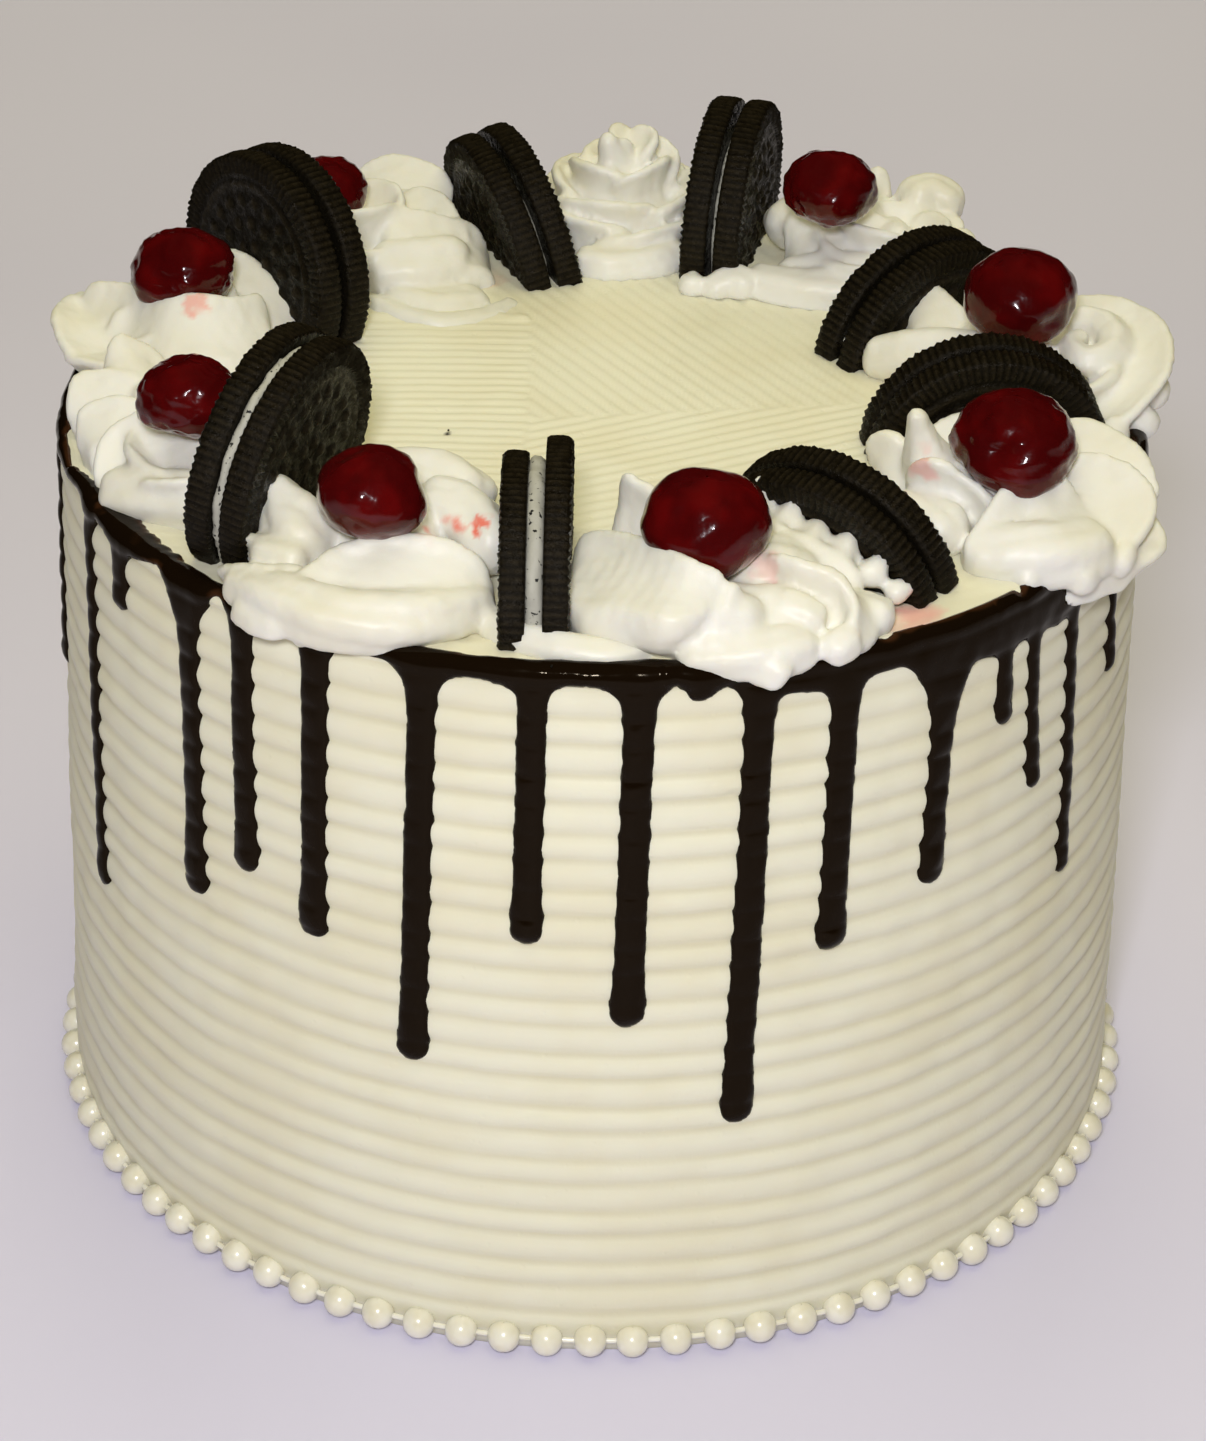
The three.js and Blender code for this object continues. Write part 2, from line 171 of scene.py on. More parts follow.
def finish_piece(piece, stands_for, finish):
    """Sets a piece on the cake's one body, in place of its CAD nodes, with its finish."""
    piece.data.materials.clear()
    piece.data.materials.append(finish.material)
    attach(piece, "root")
    if stands_for:
        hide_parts(*stands_for)
    TRIANGLES[piece.name] = sum(len(p.vertices) - 2 for p in piece.data.polygons)
    print(f"{piece.name}: {TRIANGLES[piece.name]} triangles")


TRIANGLES = {}
print("faces of a loop of four over a loop of four:", grid_faces(2, 4).tolist())

# %% [markdown]
# ## Unevenness
#
# Nothing made by hand is even. A sum of waves in seeded directions gives a smooth unevenness
# that can be read at any point, so one rule serves icing, cream, cherries and crumbs. A fixed
# seed gives the same cake on each run.

# %% Smooth seeded unevenness
WAVES = 9
WAVE_SPREAD = 1.5


def ripple(points, size, seed, layers=2):
    """About -1 to 1 at each point. size is the width of the widest bumps."""
    random = np.random.default_rng(seed)
    total = np.zeros(np.shape(points)[:-1])
    for layer in range(layers):
        for _ in range(WAVES):
            direction = random.normal(size=3)
            direction *= 2 * np.pi * 2**layer / (size * np.linalg.norm(direction))
            total += np.sin(points @ direction + random.uniform(0, 2 * np.pi)) / 2**layer
    return total / (WAVE_SPREAD * WAVES**0.5)


def lumps(points, *rows):
    """Unevenness of several sizes, added up. Each row is its height, its width and its seed."""
    return sum(height * ripple(points, size, seed) for height, size, seed in rows)


print("unevenness at the front of the rim:", round(float(ripple(place(0, 98, 137), 10, 1)), 3))

# %% [markdown]
# ## Colours
#
# Colours are read off the object as ordinary screen values and turned into the linear
# values that Blender's shaders use. The cream is nearly white, the icing a warmer ivory, and the
# chocolate and biscuits are close to black, with just a little brown.

# %% Colours


def tint(red, green, blue):
    """A shader colour from screen values of 0 to 255."""
    screen = [value / 255 for value in (red, green, blue)]
    linear = [c / 12.92 if c <= 0.04045 else ((c + 0.055) / 1.055) ** 2.4 for c in screen]
    return (*linear, 1.0)


ICING_COLOUR = tint(236, 233, 210)
ICING_DEEP = tint(232, 227, 200)
# A painted shade for the icing's comb grooves.
ICING_GROOVE_SHADE = tint(216, 208, 168)
CREAM_COLOUR = tint(235, 233, 225)
CREAM_DEEP = tint(228, 224, 206)
CHOCOLATE_COLOUR = tint(20, 12, 5)
CHOCOLATE_THIN = tint(56, 33, 18)
WAFER_COLOUR = tint(14, 11, 6)
# Paler crumbs of the wafer, and the painted highlight on its raised crests.
WAFER_CRUMB_AND_HIGHLIGHT = tint(37, 31, 20)
# The filling is painted grey, darker than the cream: a painted shade for its place recessed between
# the wafers.
FILLING_SHADED_COLOUR = tint(176, 174, 162)
CHERRY_COLOUR = tint(65, 5, 6)
# A brighter red for random patches of flesh, and for the painted glow low on each cherry.
CHERRY_FLESH_AND_GLOW = tint(120, 10, 10)
PEARL_COLOUR = tint(243, 239, 222)
PEARL_DEEP = tint(233, 227, 203)
SYRUP_COLOUR = tint(240, 96, 66)
SYRUP_PINK = tint(240, 170, 165)
SMEAR_COLOUR = tint(118, 104, 84)
FLOOR_COLOUR = tint(228, 225, 248)
FLOOR_DULL = tint(223, 220, 244)
print("icing in linear values:", [round(c, 3) for c in ICING_COLOUR[:3]])

# %% [markdown]
# ## Finishes
#
# Each finish is a small net of nodes read from the object's own coordinates, so that no unwrap
# is needed and the grain keeps its true size. These helpers add one kind of node each.

# %% Node helpers


class Finish:
    """A material with one Principled shader, and short ways to add nodes to it."""

    def __init__(self, name, roughness):
        self.material = bpy.data.materials.new(name)
        self.material.use_nodes = True
        self.tree = self.material.node_tree
        self.shader = self.tree.nodes["Principled BSDF"]
        self.set({"Roughness": roughness})
        self.where = self.node("ShaderNodeTexCoord").outputs["Object"]

    def node(self, kind, **settings):
        """A new node of a kind, with some of its own settings."""
        made = self.tree.nodes.new(kind)
        for key, value in settings.items():
            setattr(made, key, value)
        return made

    def set(self, values):
        """Sets sockets of the shader that have one value all over."""
        for socket, value in values.items():
            self.shader.inputs[socket].default_value = value

    def join(self, output, socket):
        """A wire from a node's output to another node's socket."""
        self.tree.links.new(output, socket)

    def drive(self, socket, output):
        """A wire from a node's output to a socket of the shader."""
        self.join(output, self.shader.inputs[socket])

    def grain(self, size_mm, detail=2.0, roughness=0.5):
        """A cloudy value from 0 to 1 whose blots are about size_mm across."""
        cloud = self.node("ShaderNodeTexNoise")
        self.join(self.where, cloud.inputs["Vector"])
        cloud.inputs["Scale"].default_value = 1 / (MM * size_mm)
        cloud.inputs["Detail"].default_value = detail
        cloud.inputs["Roughness"].default_value = roughness
        return cloud.outputs["Fac"]

    def pits(self, size_mm):
        """The distance to the nearest of many seeded points about size_mm apart."""
        cells = self.node("ShaderNodeTexVoronoi")
        self.join(self.where, cells.inputs["Vector"])
        cells.inputs["Scale"].default_value = 1 / (MM * size_mm)
        return cells.outputs["Distance"]

    def painted(self, name):
        """A mask kept on the mesh with brush()."""
        return self.node("ShaderNodeAttribute", attribute_name=name).outputs["Fac"]

    def between(self, value, low, high, to_low=0.0, to_high=1.0):
        """value's range from low to high, stretched smoothly to a new range."""
        ranged = self.node("ShaderNodeMapRange", interpolation_type="SMOOTHSTEP")
        self.join(value, ranged.inputs["Value"])
        for socket, number in zip((1, 2, 3, 4), (low, high, to_low, to_high)):
            ranged.inputs[socket].default_value = number
        return ranged.outputs["Result"]

    def maths(self, operation, a, b):
        """A sum of two outputs or numbers."""
        sum_node = self.node("ShaderNodeMath", operation=operation)
        for socket, value in zip(sum_node.inputs, (a, b)):
            if isinstance(value, (int, float)):
                socket.default_value = value
            else:
                self.join(value, socket)
        return sum_node.outputs["Value"]

    def mix(self, share, first, second):
        """From first to second as share goes from 0 to 1."""
        mixer = self.node("ShaderNodeMix", data_type="RGBA")
        self.join(share, mixer.inputs[0])
        for socket, colour in zip((6, 7), (first, second)):
            if isinstance(colour, tuple):
                mixer.inputs[socket].default_value = colour
            else:
                self.join(colour, mixer.inputs[socket])
        return mixer.outputs[2]

    def bump(self, height, strength, depth_mm, under=None):
        """Fine relief from a value, on top of the relief under it."""
        relief = self.node("ShaderNodeBump")
        relief.inputs["Strength"].default_value = strength
        relief.inputs["Distance"].default_value = depth_mm * MM
        self.join(height, relief.inputs["Height"])
        if under is not None:
            self.join(under, relief.inputs["Normal"])
        return relief.outputs["Normal"]


print("helpers of a finish:", [name for name in vars(Finish) if name[0] != "_"])

# %% [markdown]
# ## Icing and cream
#
# Icing and piped cream are fat and air, so light goes a little way in and comes out soft. A
# little subsurface scattering does that. The side was scraped, so it is smoother and shinier
# than the cream, and has a few small pin holes. Syrup stains and brown specks are painted masks,
# and the comb's grooves on the side are painted darker as painted shade.

# %% Icing and cream finishes


def dairy(name, colour, deep, roughness, soft):
    """The finish shared by icing and cream: pale, soft and faintly uneven in colour."""
    made = Finish(name, roughness)
    blots = made.between(made.grain(26, 3.0), 0.38, 0.68)
    base = made.mix(blots, colour, deep)
    patchy = made.between(made.grain(2.4), 0.25, 0.55, 0.55, 1.0)
    wet = made.maths("MULTIPLY", made.painted("syrup"), patchy)
    # Syrup, smear and specks are stains; the groove mask is painted shade that darkens the comb's
    # grooves.
    stains_and_shade = [
        (made.painted("groove"), ICING_GROOVE_SHADE), (wet, SYRUP_COLOUR),
        (made.painted("blush"), SYRUP_PINK), (made.painted("smear"), SMEAR_COLOUR),
        (made.painted("speck"), CHOCOLATE_COLOUR),
    ]
    for mask, stain in stains_and_shade:
        base = made.mix(mask, base, stain)
    made.drive("Base Color", base)
    made.set({
        "Subsurface Weight": soft, "Subsurface Radius": (1.0, 0.75, 0.45),
        "Subsurface Scale": 0.003, "Specular IOR Level": 0.4,
    })
    return made


icing_finish = dairy("icing_finish", ICING_COLOUR, ICING_DEEP, 0.46, 0.12)
pin_holes = icing_finish.between(icing_finish.pits(3.4), 0.04, 0.16)
skin = icing_finish.bump(icing_finish.grain(0.9, 3.0), 0.25, 0.12)
icing_finish.drive("Normal", icing_finish.bump(pin_holes, 0.25, 0.15, skin))

cream_finish = dairy("cream_finish", CREAM_COLOUR, CREAM_DEEP, 0.42, 0.22)
foam = cream_finish.bump(cream_finish.grain(1.1, 3.0), 0.22, 0.14)
cream_finish.drive("Normal", cream_finish.bump(cream_finish.grain(5.0), 0.25, 0.5, foam))
print("pale finishes:", icing_finish.material.name, cream_finish.material.name)

# %% [markdown]
# ## Chocolate, wafer and filling
#
# The drip is a glossy ganache. Where it lies thin its edge turns brown, which a painted mask of
# its thickness gives. The biscuits are baked and crumbly, so they are rough and speckled with
# paler crumbs, and the raised crests of their relief are painted paler as a painted highlight.
# The filling has dark crumbs pressed into it.

# %% Chocolate, wafer and filling finishes
chocolate_finish = Finish("chocolate_finish", 0.14)
thin = chocolate_finish.between(chocolate_finish.painted("thin"), 0.25, 1.0)
chocolate_finish.drive("Base Color", chocolate_finish.mix(thin, CHOCOLATE_COLOUR, CHOCOLATE_THIN))
dull = chocolate_finish.between(chocolate_finish.grain(7.0, 3.0), 0.35, 0.75, 0.06, 0.16)
chocolate_finish.drive("Roughness", dull)
chocolate_finish.drive("Normal", chocolate_finish.bump(chocolate_finish.grain(2.6, 2.0), 0.2, 0.25))
chocolate_finish.set({"Specular IOR Level": 0.09, "Specular Tint": (1.0, 0.85, 0.62, 1.0)})

wafer_finish = Finish("wafer_finish", 0.62)
# Raised crests of the relief are mixed paler: a painted highlight where they catch the light. The
# pale crumbs are the wafer's own colour.
patchy = wafer_finish.between(wafer_finish.grain(1.1, 3.0), 0.3, 0.6, 0.25, 1.0)
lit_crests = wafer_finish.maths("MULTIPLY", wafer_finish.painted("crest"), patchy)
pale_crumbs = wafer_finish.between(wafer_finish.grain(0.8, 4.0, 0.65), 0.56, 0.76)
pale = wafer_finish.maths("MAXIMUM", lit_crests, pale_crumbs)
wafer_finish.drive("Base Color", wafer_finish.mix(pale, WAFER_COLOUR, WAFER_CRUMB_AND_HIGHLIGHT))
crumbly = wafer_finish.bump(wafer_finish.grain(0.7, 4.0, 0.7), 0.8, 0.35)
wafer_finish.drive("Normal", wafer_finish.bump(wafer_finish.pits(1.6), 0.45, 0.3, crumbly))
wafer_finish.drive("Roughness", wafer_finish.between(wafer_finish.grain(1.3), 0.35, 0.7, 0.25, 0.6))
wafer_finish.set({"Specular IOR Level": 0.13, "Specular Tint": (1.0, 0.92, 0.78, 1.0)})

filling_finish = Finish("filling_finish", 0.6)
dark_crumbs = filling_finish.between(filling_finish.grain(0.9, 2.0), 0.62, 0.66)
# The grey base is painted shade for the filling's recess between the wafers.
filling_finish.drive("Base Color", filling_finish.mix(dark_crumbs, FILLING_SHADED_COLOUR, WAFER_COLOUR))
filling_finish.drive("Normal", filling_finish.bump(filling_finish.grain(1.2, 3.0), 0.4, 0.3))
print("dark finishes:", chocolate_finish.material.name, wafer_finish.material.name)

# %% [markdown]
# ## Cherries and pearls
#
# A cocktail cherry is dark and wet: a deep red under a clear coat of syrup. Its lower part is
# painted brighter red, a painted glow for light shining through it. A bead of pearl is pale and a
# little cloudy. Its coat is not quite smooth, so that a lamp shows in it as a soft bright spot,
# which is what makes it a pearl.

# %% Cherry and pearl finishes
cherry_finish = Finish("cherry_finish", 0.2)
flesh = cherry_finish.between(cherry_finish.grain(7.0, 2.0), 0.4, 0.75, 0.0, 0.3)
cherry_red = cherry_finish.mix(flesh, CHERRY_COLOUR, CHERRY_FLESH_AND_GLOW)
# The foot mask paints the cherry's lower part brighter red: a painted glow of light passing
# through.
cherry_red = cherry_finish.mix(cherry_finish.painted("foot"), cherry_red, CHERRY_FLESH_AND_GLOW)
cherry_finish.drive("Base Color", cherry_red)
cherry_finish.drive("Normal", cherry_finish.bump(cherry_finish.grain(2.6, 2.0), 0.4, 0.5))
cherry_finish.set({
    "Specular IOR Level": 0.12, "Coat Weight": 0.7, "Coat IOR": 1.28, "Coat Roughness": 0.04,
    "Subsurface Weight": 0.1, "Subsurface Radius": (1.0, 0.1, 0.1), "Subsurface Scale": 0.002,
})

pearl_finish = Finish("pearl_finish", 0.35)
cloudy = pearl_finish.between(pearl_finish.grain(4.0), 0.3, 0.7)
pearl_finish.drive("Base Color", pearl_finish.mix(cloudy, PEARL_COLOUR, PEARL_DEEP))
pearl_finish.set({
    "Subsurface Weight": 0.3, "Subsurface Radius": (1.0, 0.9, 0.7), "Subsurface Scale": 0.002,
    "Coat Weight": 1.0, "Coat Roughness": 0.2,
})
print("glossy finishes:", cherry_finish.material.name, pearl_finish.material.name)

# %% [markdown]
# ## The combed side
#
# A toothed comb held against the turning cake leaves level grooves with rounded crests between
# them. The side is a turned shape: one profile carried round in steps. Each crest is an arc, so
# its grooves are sharp, and slow unevenness lets the comb's depth wander as a hand does.

# %% Sizes of the cake
FOOT_RADIUS = 101.6
FOOT_INNER = 100.2
TOP_RADIUS = 98.0
CAKE_HEIGHT = 137.0
COMB_PITCH = 5.435
COMB_STAGGER = 0.25
COMB_DEPTH = 0.74
COMB_GROOVES = 24
COMB_START = 8.6
CREST_POWER = 2.2
COMB_FADE = 0.9
WANDER, WANDER_SIZE, WANDER_SEED = 0.35, 45, 4
RIM_ROUND = 1.8

groove_heights = np.array([
    COMB_START + k * COMB_PITCH + (COMB_STAGGER if k % 2 else -COMB_STAGGER)
    for k in range(COMB_GROOVES)
])


def crest_radius(z):
    """The radius over the comb's crests at a height."""
    return FOOT_RADIUS + (TOP_RADIUS - FOOT_RADIUS) * z / CAKE_HEIGHT


def comb_cut(z):
    """How deep the comb has cut at a height, from 0 on a crest to 1 in a groove."""
    k = np.clip(np.searchsorted(groove_heights, z) - 1, 0, COMB_GROOVES - 2)
    low = groove_heights[k]
    high = groove_heights[k + 1]
    t = np.clip((z - low) / (high - low), 0, 1)
    inside = (z > groove_heights[0]) & (z < groove_heights[-1])
    arc = np.abs(2 * t - 1) ** CREST_POWER
    below = np.exp(-np.maximum(groove_heights[0] - z, 0) / COMB_FADE)
    above = np.exp(-np.maximum(z - groove_heights[-1], 0) / COMB_FADE)
    return np.where(inside, arc, np.minimum(below, above))


print("comb grooves:", COMB_GROOVES, "from", groove_heights[0], "to", round(groove_heights[-1], 2))

# %% Radius of the icing at any place on the side
UNEVEN_DEPTH = 0.22
WANDER_LOW, WANDER_HIGH = 12, 130


def side_radius(angle, z, fill=0.0):
    """The icing's radius. fill says how far something thick evens out the grooves."""
    spot = place(angle, 100, z)
    slow = ripple(spot * np.array([1, 1, 2.5]), 70, 3)
    wander = WANDER * ripple(spot, WANDER_SIZE, WANDER_SEED)
    depth = COMB_DEPTH * (1 + UNEVEN_DEPTH * slow)
    cut = comb_cut(z + wander * (z > WANDER_LOW) * (z < WANDER_HIGH))
    lump = lumps(spot, (0.12, 9, 5), (0.18, 40, 6))
    return crest_radius(z) - depth * cut * (1 - fill) + lump


print("radius at the front, 60 mm up:", round(float(side_radius(0.0, np.array(60.0))), 2))

# %% [markdown]
# ## The combed top
#
# The top was stroked with a finer comb in three passes that meet near the middle: level strokes
# on the left, steep ones at the back and right, and rising ones at the front. The mesh is a
# grid with its lines closest in the middle, where the icing shows, and trimmed to a circle.

# %% The top's comb strokes
TOP_PITCH = 3.0
TOP_DEPTH = 0.42
TOP_POWER = 1.8
MEETING = np.array([-13.8, -5.0])
BACK_STROKE = math.radians(-58)
FRONT_STROKE = math.radians(26)
FRONT_SEAM = math.radians(7.2)
SEAM_HALF = 0.5
# The comb's end left one round ridge on the left: its middle, radius, height and half width.
RIDGE_MIDDLE, RIDGE_RADIUS, RIDGE_HEIGHT, RIDGE_HALF = (-30, -25), 65, 0.45, 0.9
RIDGE_SOFT = 0.4
OLD_STROKE_SHARE = 0.6
CALM_FROM, CALM_TO, CALM_SHARE = 62, 88, 0.35
TOP_SINK = 0.1


def stroke(x, y, heading, seed):
    """One pass of the comb: 0 on a crest and 1 in a groove, on lines along heading."""
    spot = np.stack([x, y, 0 * x], -1)
    across = y * math.cos(heading) - x * math.sin(heading)
    phase = (across + 0.25 * ripple(spot, 40, seed)) / TOP_PITCH
    return np.abs(2 * (phase % 1) - 1) ** TOP_POWER


def top_height(x, y):
    """The icing's height over the top, with its three passes of the comb."""
    spot = np.stack([x, y, 0 * x], -1)
    dx, dy = x - MEETING[0], y - MEETING[1]
    left_pass = stroke(x, y, 0.0, 21)
    back_pass = stroke(x, y, BACK_STROKE, 22)
    front_pass = stroke(x, y, FRONT_STROKE, 23)
    seam = dy * math.cos(FRONT_SEAM) - dx * math.sin(FRONT_SEAM)
    to_right = blend_in(-SEAM_HALF, SEAM_HALF, dx + 0.4 * ripple(spot, 12, 24))
    to_front = blend_in(-SEAM_HALF, SEAM_HALF, -seam)
    right_side = back_pass * (1 - to_front) + front_pass * to_front
    cut = left_pass * (1 - to_right) + right_side * to_right
    arc = np.hypot(x - RIDGE_MIDDLE[0], y - RIDGE_MIDDLE[1]) - RIDGE_RADIUS
    past_arc = blend_in(-RIDGE_SOFT, RIDGE_SOFT, arc)
    cut = cut + (back_pass * OLD_STROKE_SHARE - cut) * past_arc * (1 - to_right)
    ridge = RIDGE_HEIGHT * np.exp(-((arc / RIDGE_HALF) ** 2)) * (1 - to_right)
    calm = 1 - blend_in(CALM_FROM, CALM_TO, np.hypot(x, y)) * CALM_SHARE
    slow = lumps(spot, (0.16, 55, 25), (0.07, 11, 26))
    return CAKE_HEIGHT - TOP_DEPTH * cut * calm + ridge + slow - TOP_SINK


print("height at the middle:", round(float(top_height(np.array(0.0), np.array(0.0))), 2))

# %% Build the icing
SIDE_COLUMNS = 370
STEPS_PER_CREST = 6
TOP_STEPS = 96
TOP_EDGE = TOP_RADIUS - RIM_ROUND
TOP_OVERLAP = 0.25
UNDERCUT_FROM, UNDERCUT_TO = 2.0, 7.2
FOOT_ROWS = [0.0, 1.5, 3.2, 4.6, 5.2, 5.8, 6.4, 7.0, 7.6]
UPPER_ROWS = [134.4, 135.0, CAKE_HEIGHT - RIM_ROUND]

side_rows = list(FOOT_ROWS)
for low, high in zip(groove_heights[:-1], groove_heights[1:]):
    side_rows.extend(np.linspace(low, high, STEPS_PER_CREST, endpoint=False))
side_rows.extend([groove_heights[-1], *UPPER_ROWS])

around = np.linspace(-180, 180, SIDE_COLUMNS, endpoint=False)[None, :]
z = np.array(side_rows)[:, None] + 0 * around
radius = side_radius(around + 0 * z, z)
undercut = 1 - blend_in(UNDERCUT_FROM, UNDERCUT_TO, z)
radius = radius - undercut * (radius - FOOT_INNER)
rows = [place(around, radius, z)]
for turn in np.radians([30, 60, 90]):
    rim_radius = radius[-1:] - RIM_ROUND * (1 - math.cos(turn))
    rows.append(place(around, rim_radius, CAKE_HEIGHT - RIM_ROUND * (1 - math.sin(turn))))
side_points = np.concatenate([r.reshape(-1, 3) for r in rows])
side_faces = grid_faces(len(side_points) // SIDE_COLUMNS, SIDE_COLUMNS)
base = np.arange(SIDE_COLUMNS)[::-1][None, :]
print("rows up the side:", len(side_points) // SIDE_COLUMNS)

u = np.linspace(-1, 1, 2 * TOP_STEPS + 1)
spread = 68 * u + 30 * u**3
gx, gy = np.meshgrid(spread, spread)
distance = np.hypot(gx, gy)
edge = TOP_EDGE + TOP_OVERLAP
shrink = np.where(distance > edge, edge / np.maximum(distance, 1), 1)
tx, ty = gx * shrink, gy * shrink
tz = top_height(tx, ty)
tz = tz + (CAKE_HEIGHT - 0.05 - tz) * blend_in(edge - 3, edge, np.hypot(tx, ty))
top_points = np.stack([tx, ty, tz], -1).reshape(-1, 3)
top_faces = grid_faces(len(u), len(u), wrap=False)
inside = (distance < edge).ravel()[top_faces].any(axis=1)
icing = new_piece("icing", *joined([
    (side_points, [side_faces, base]), (top_points, [top_faces[inside]]),
]))
print("points of the icing:", len(icing.data.vertices))

# %% [markdown]
# ## Stains on the icing
#
# The cherries have wept syrup here and there, one brown smear lies by the left rim, a dot of
# chocolate sits on the side, and a few crumbs have darkened the top. Each is a soft spot round
# a centre, made ragged by the same unevenness, and kept as a mask.

# %% Paint the icing
RAGGED = 0.35


def spot_mask(points, centre, size, seed):
    """1 at a centre, fading to 0 at about size away, with a ragged edge."""
    away = np.linalg.norm(points - centre, axis=-1) / size
    return 1 - blend_in(0.45, 1.0, away + RAGGED * ripple(points, size, seed))


def paint_spots(piece, name, spots):
    """Lays several soft spots over each other, and keeps them as one mask."""
    points = points_of(piece)
    values = np.zeros(len(points))
    for k, (angle, out, rise, size, strength) in enumerate(spots):
        centre = place(angle, out, CAKE_HEIGHT + rise)
        near = np.linalg.norm(points - centre, axis=-1) < size * 2
        stain = strength * spot_mask(points[near], centre, size, 60 + k)
        values[near] = np.maximum(values[near], stain)
    brush(piece, name, values)


# Each spot: angle, distance out, height from the cake's top, size and strength.
ICING_STAINS = {
    "syrup": [(34.5, 92, 0, 4.5, 0.25), (-156, 62, 0, 7, 0.14)],
    "blush": [(33.5, 93.5, 0, 5.5, 0.6), (30.5, 94, 0, 3.5, 0.4)],
    "smear": [(-62, 95, 0, 5, 0.8), (-66, 95, 0, 4, 0.7), (-1, 60, 0, 4, 0.25)],
    "speck": [(12.2, 98.7, -23.7, 1.0, 1.0), (-67, 30, 0, 0.9, 1.0), (-88, 84, 0, 1.0, 1.0)],
}
# The comb's grooves on the side are painted darker, as painted shade where they lie in shadow.
GROOVE_SHADE, GROOVE_SHADE_POWER = 0.5, 1.5
GROOVE_SHADE_TOP = 134

on_icing = points_of(icing)
out = np.hypot(on_icing[:, 0], on_icing[:, 1])
z = on_icing[:, 2]
level = z + WANDER * ripple(on_icing, WANDER_SIZE, WANDER_SEED)
on_side = (out > TOP_RADIUS - 1.2) & (z > COMB_START - 1) & (z < GROOVE_SHADE_TOP)
brush(icing, "groove", GROOVE_SHADE * comb_cut(level) ** GROOVE_SHADE_POWER * on_side)
for name, spots in ICING_STAINS.items():
    paint_spots(icing, name, spots)
finish_piece(icing, ["cake"], icing_finish)

# %% [markdown]
# ## The chocolate
#
# The chocolate is one skin: a band over the rim with drips that run down from it. It is laid out
# flat first, as a map of how far each spot lies inside its edge. Bands and drips join there with
# a soft maximum, which rounds the arches between drips. The map is cut along its edge, wrapped
# over the rim and raised by its thickness, and its edge is carried down into the icing.

# %% The drips
# Each drip: angle at its tip, how far it hangs below the top, degrees further round that it
# starts, its width, its width at the rim, and how far down it has narrowed.
DRIPS = [
    (-63.3, 75.6, -1.9, 3.3, 6, 5),
    (-57.1, 14, 0, 3.9, 7, 5),
    (-44.3, 60.2, -0.9, 4.7, 11, 8),
    (-37.2, 50.6, -0.3, 4.5, 7, 6),
    (-29.1, 58.5, 0.5, 5.0, 7, 6),
    (-18.2, 78, 0.9, 4.9, 9.5, 6),
    (-6.9, 51.5, 0.3, 4.9, 6.6, 5),
    (3.0, 67.6, 0.6, 5.2, 10.5, 5.5),
    (9.2, 5.6, 0.6, 4.0, 8, 3),
    (14.1, 88.5, 1.2, 5.1, 9, 8),
    (23.3, 56.7, 0.8, 5.0, 10, 7),
    (34.8, 49.3, 1.0, 4.6, 21, 13),
    (43.8, 23.7, -0.5, 3.6, 6, 6),
    (49.2, 39.8, -1.4, 3.1, 5.5, 5),
    (56.3, 63, -1.2, 3.1, 5, 5),
    (65.5, 30, 0, 3.0, 6, 5),
]
BACK_FIRST, BACK_LAST, BACK_COUNT = 76, 276, 18
SHORTEST, LONGEST = 18, 82


def back_drips():
    """The hidden back's drips, drawn from the same seeded numbers as the CAD source."""
    state = 11
    drips = []
    for i in range(BACK_COUNT):
        state = state * 16807 % 2147483647
        slip = (state / 2147483647 - 0.5) * 2.5
        state = state * 16807 % 2147483647
        hang = SHORTEST + (LONGEST - SHORTEST) * state / 2147483647
        angle = BACK_FIRST + i * (BACK_LAST - BACK_FIRST) / (BACK_COUNT - 1) + slip
        drips.append((angle, hang, 0, 4.4 + 0.3 * (i % 4), 8 + 2 * (i % 3), 6 + i % 3))
    # The first and last show as slivers on the outline, and are short there.
    drips[0] = (drips[0][0], 16, 0, 4.4, 8, 6)
    drips[-1] = (-81, 46, -3, 3.2, 5, 5)
    return drips


drips = DRIPS + back_drips()
print("drips:", len(drips))

# %% The flat map of the chocolate
CHOC_STEP = 0.52
CHOC_DEEPEST = 93
RUN_FIRST = -6.4
FAR_OUTSIDE = -50.0
ARCH_ROUND = 2.6
# How far out the band's inner edge lies, by angle round the cake.
BAND_INNER = {
    -180: 95.6, -140: 94.8, -100: 96, -74: 97, -69: 94.6, -63.5: 91.8, -59: 93.0, -50: 94.0,
    -42: 95.1, -30: 95.5, -12: 96, 3: 94.5, 15: 95.5, 26: 96.8, 33: 97.7, 40: 98.4, 60: 97,
    100: 95, 140: 96, 180: 95.6,
}
# How far the band hangs below the top between the drips, by angle.
BAND_HANG = {
    -180: 4.6, -100: 4.4, -75: 2.5, -66: 1.2, -54: 1.8, -50: 0.9, -46: 1.8, -41: 0.7,
    -34: 1.6, -23: 1.8, -12: 3.4, -2: 3.6, 7: 2.6, 12: 3.0, 18.5: 6.4, 22: 6.9, 30: 5.3,
    42: 9.7, 48: 9.6, 52: 11.0, 62: 7.0, 80: 4.6, 180: 4.6,
}
TIP_BULB, BULB_RISE, BULB_LENGTH = 0.4, 4.5, 3.5
LEFT_RIM = -60
rim_arc = RIM_ROUND * math.pi / 2


def soft_max(a, b, reach):
    """The larger of two, with the corner between them rounded over reach."""
    near = np.maximum(reach - np.abs(a - b), 0) / reach
    return np.maximum(a, b) + near * near * reach / 4


def aside_of(turn, tip_angle):
    """How far a spot lies to one side of an angle, along the rim."""
    return np.abs((turn - tip_angle + 180) % 360 - 180) * math.radians(1) * TOP_RADIUS


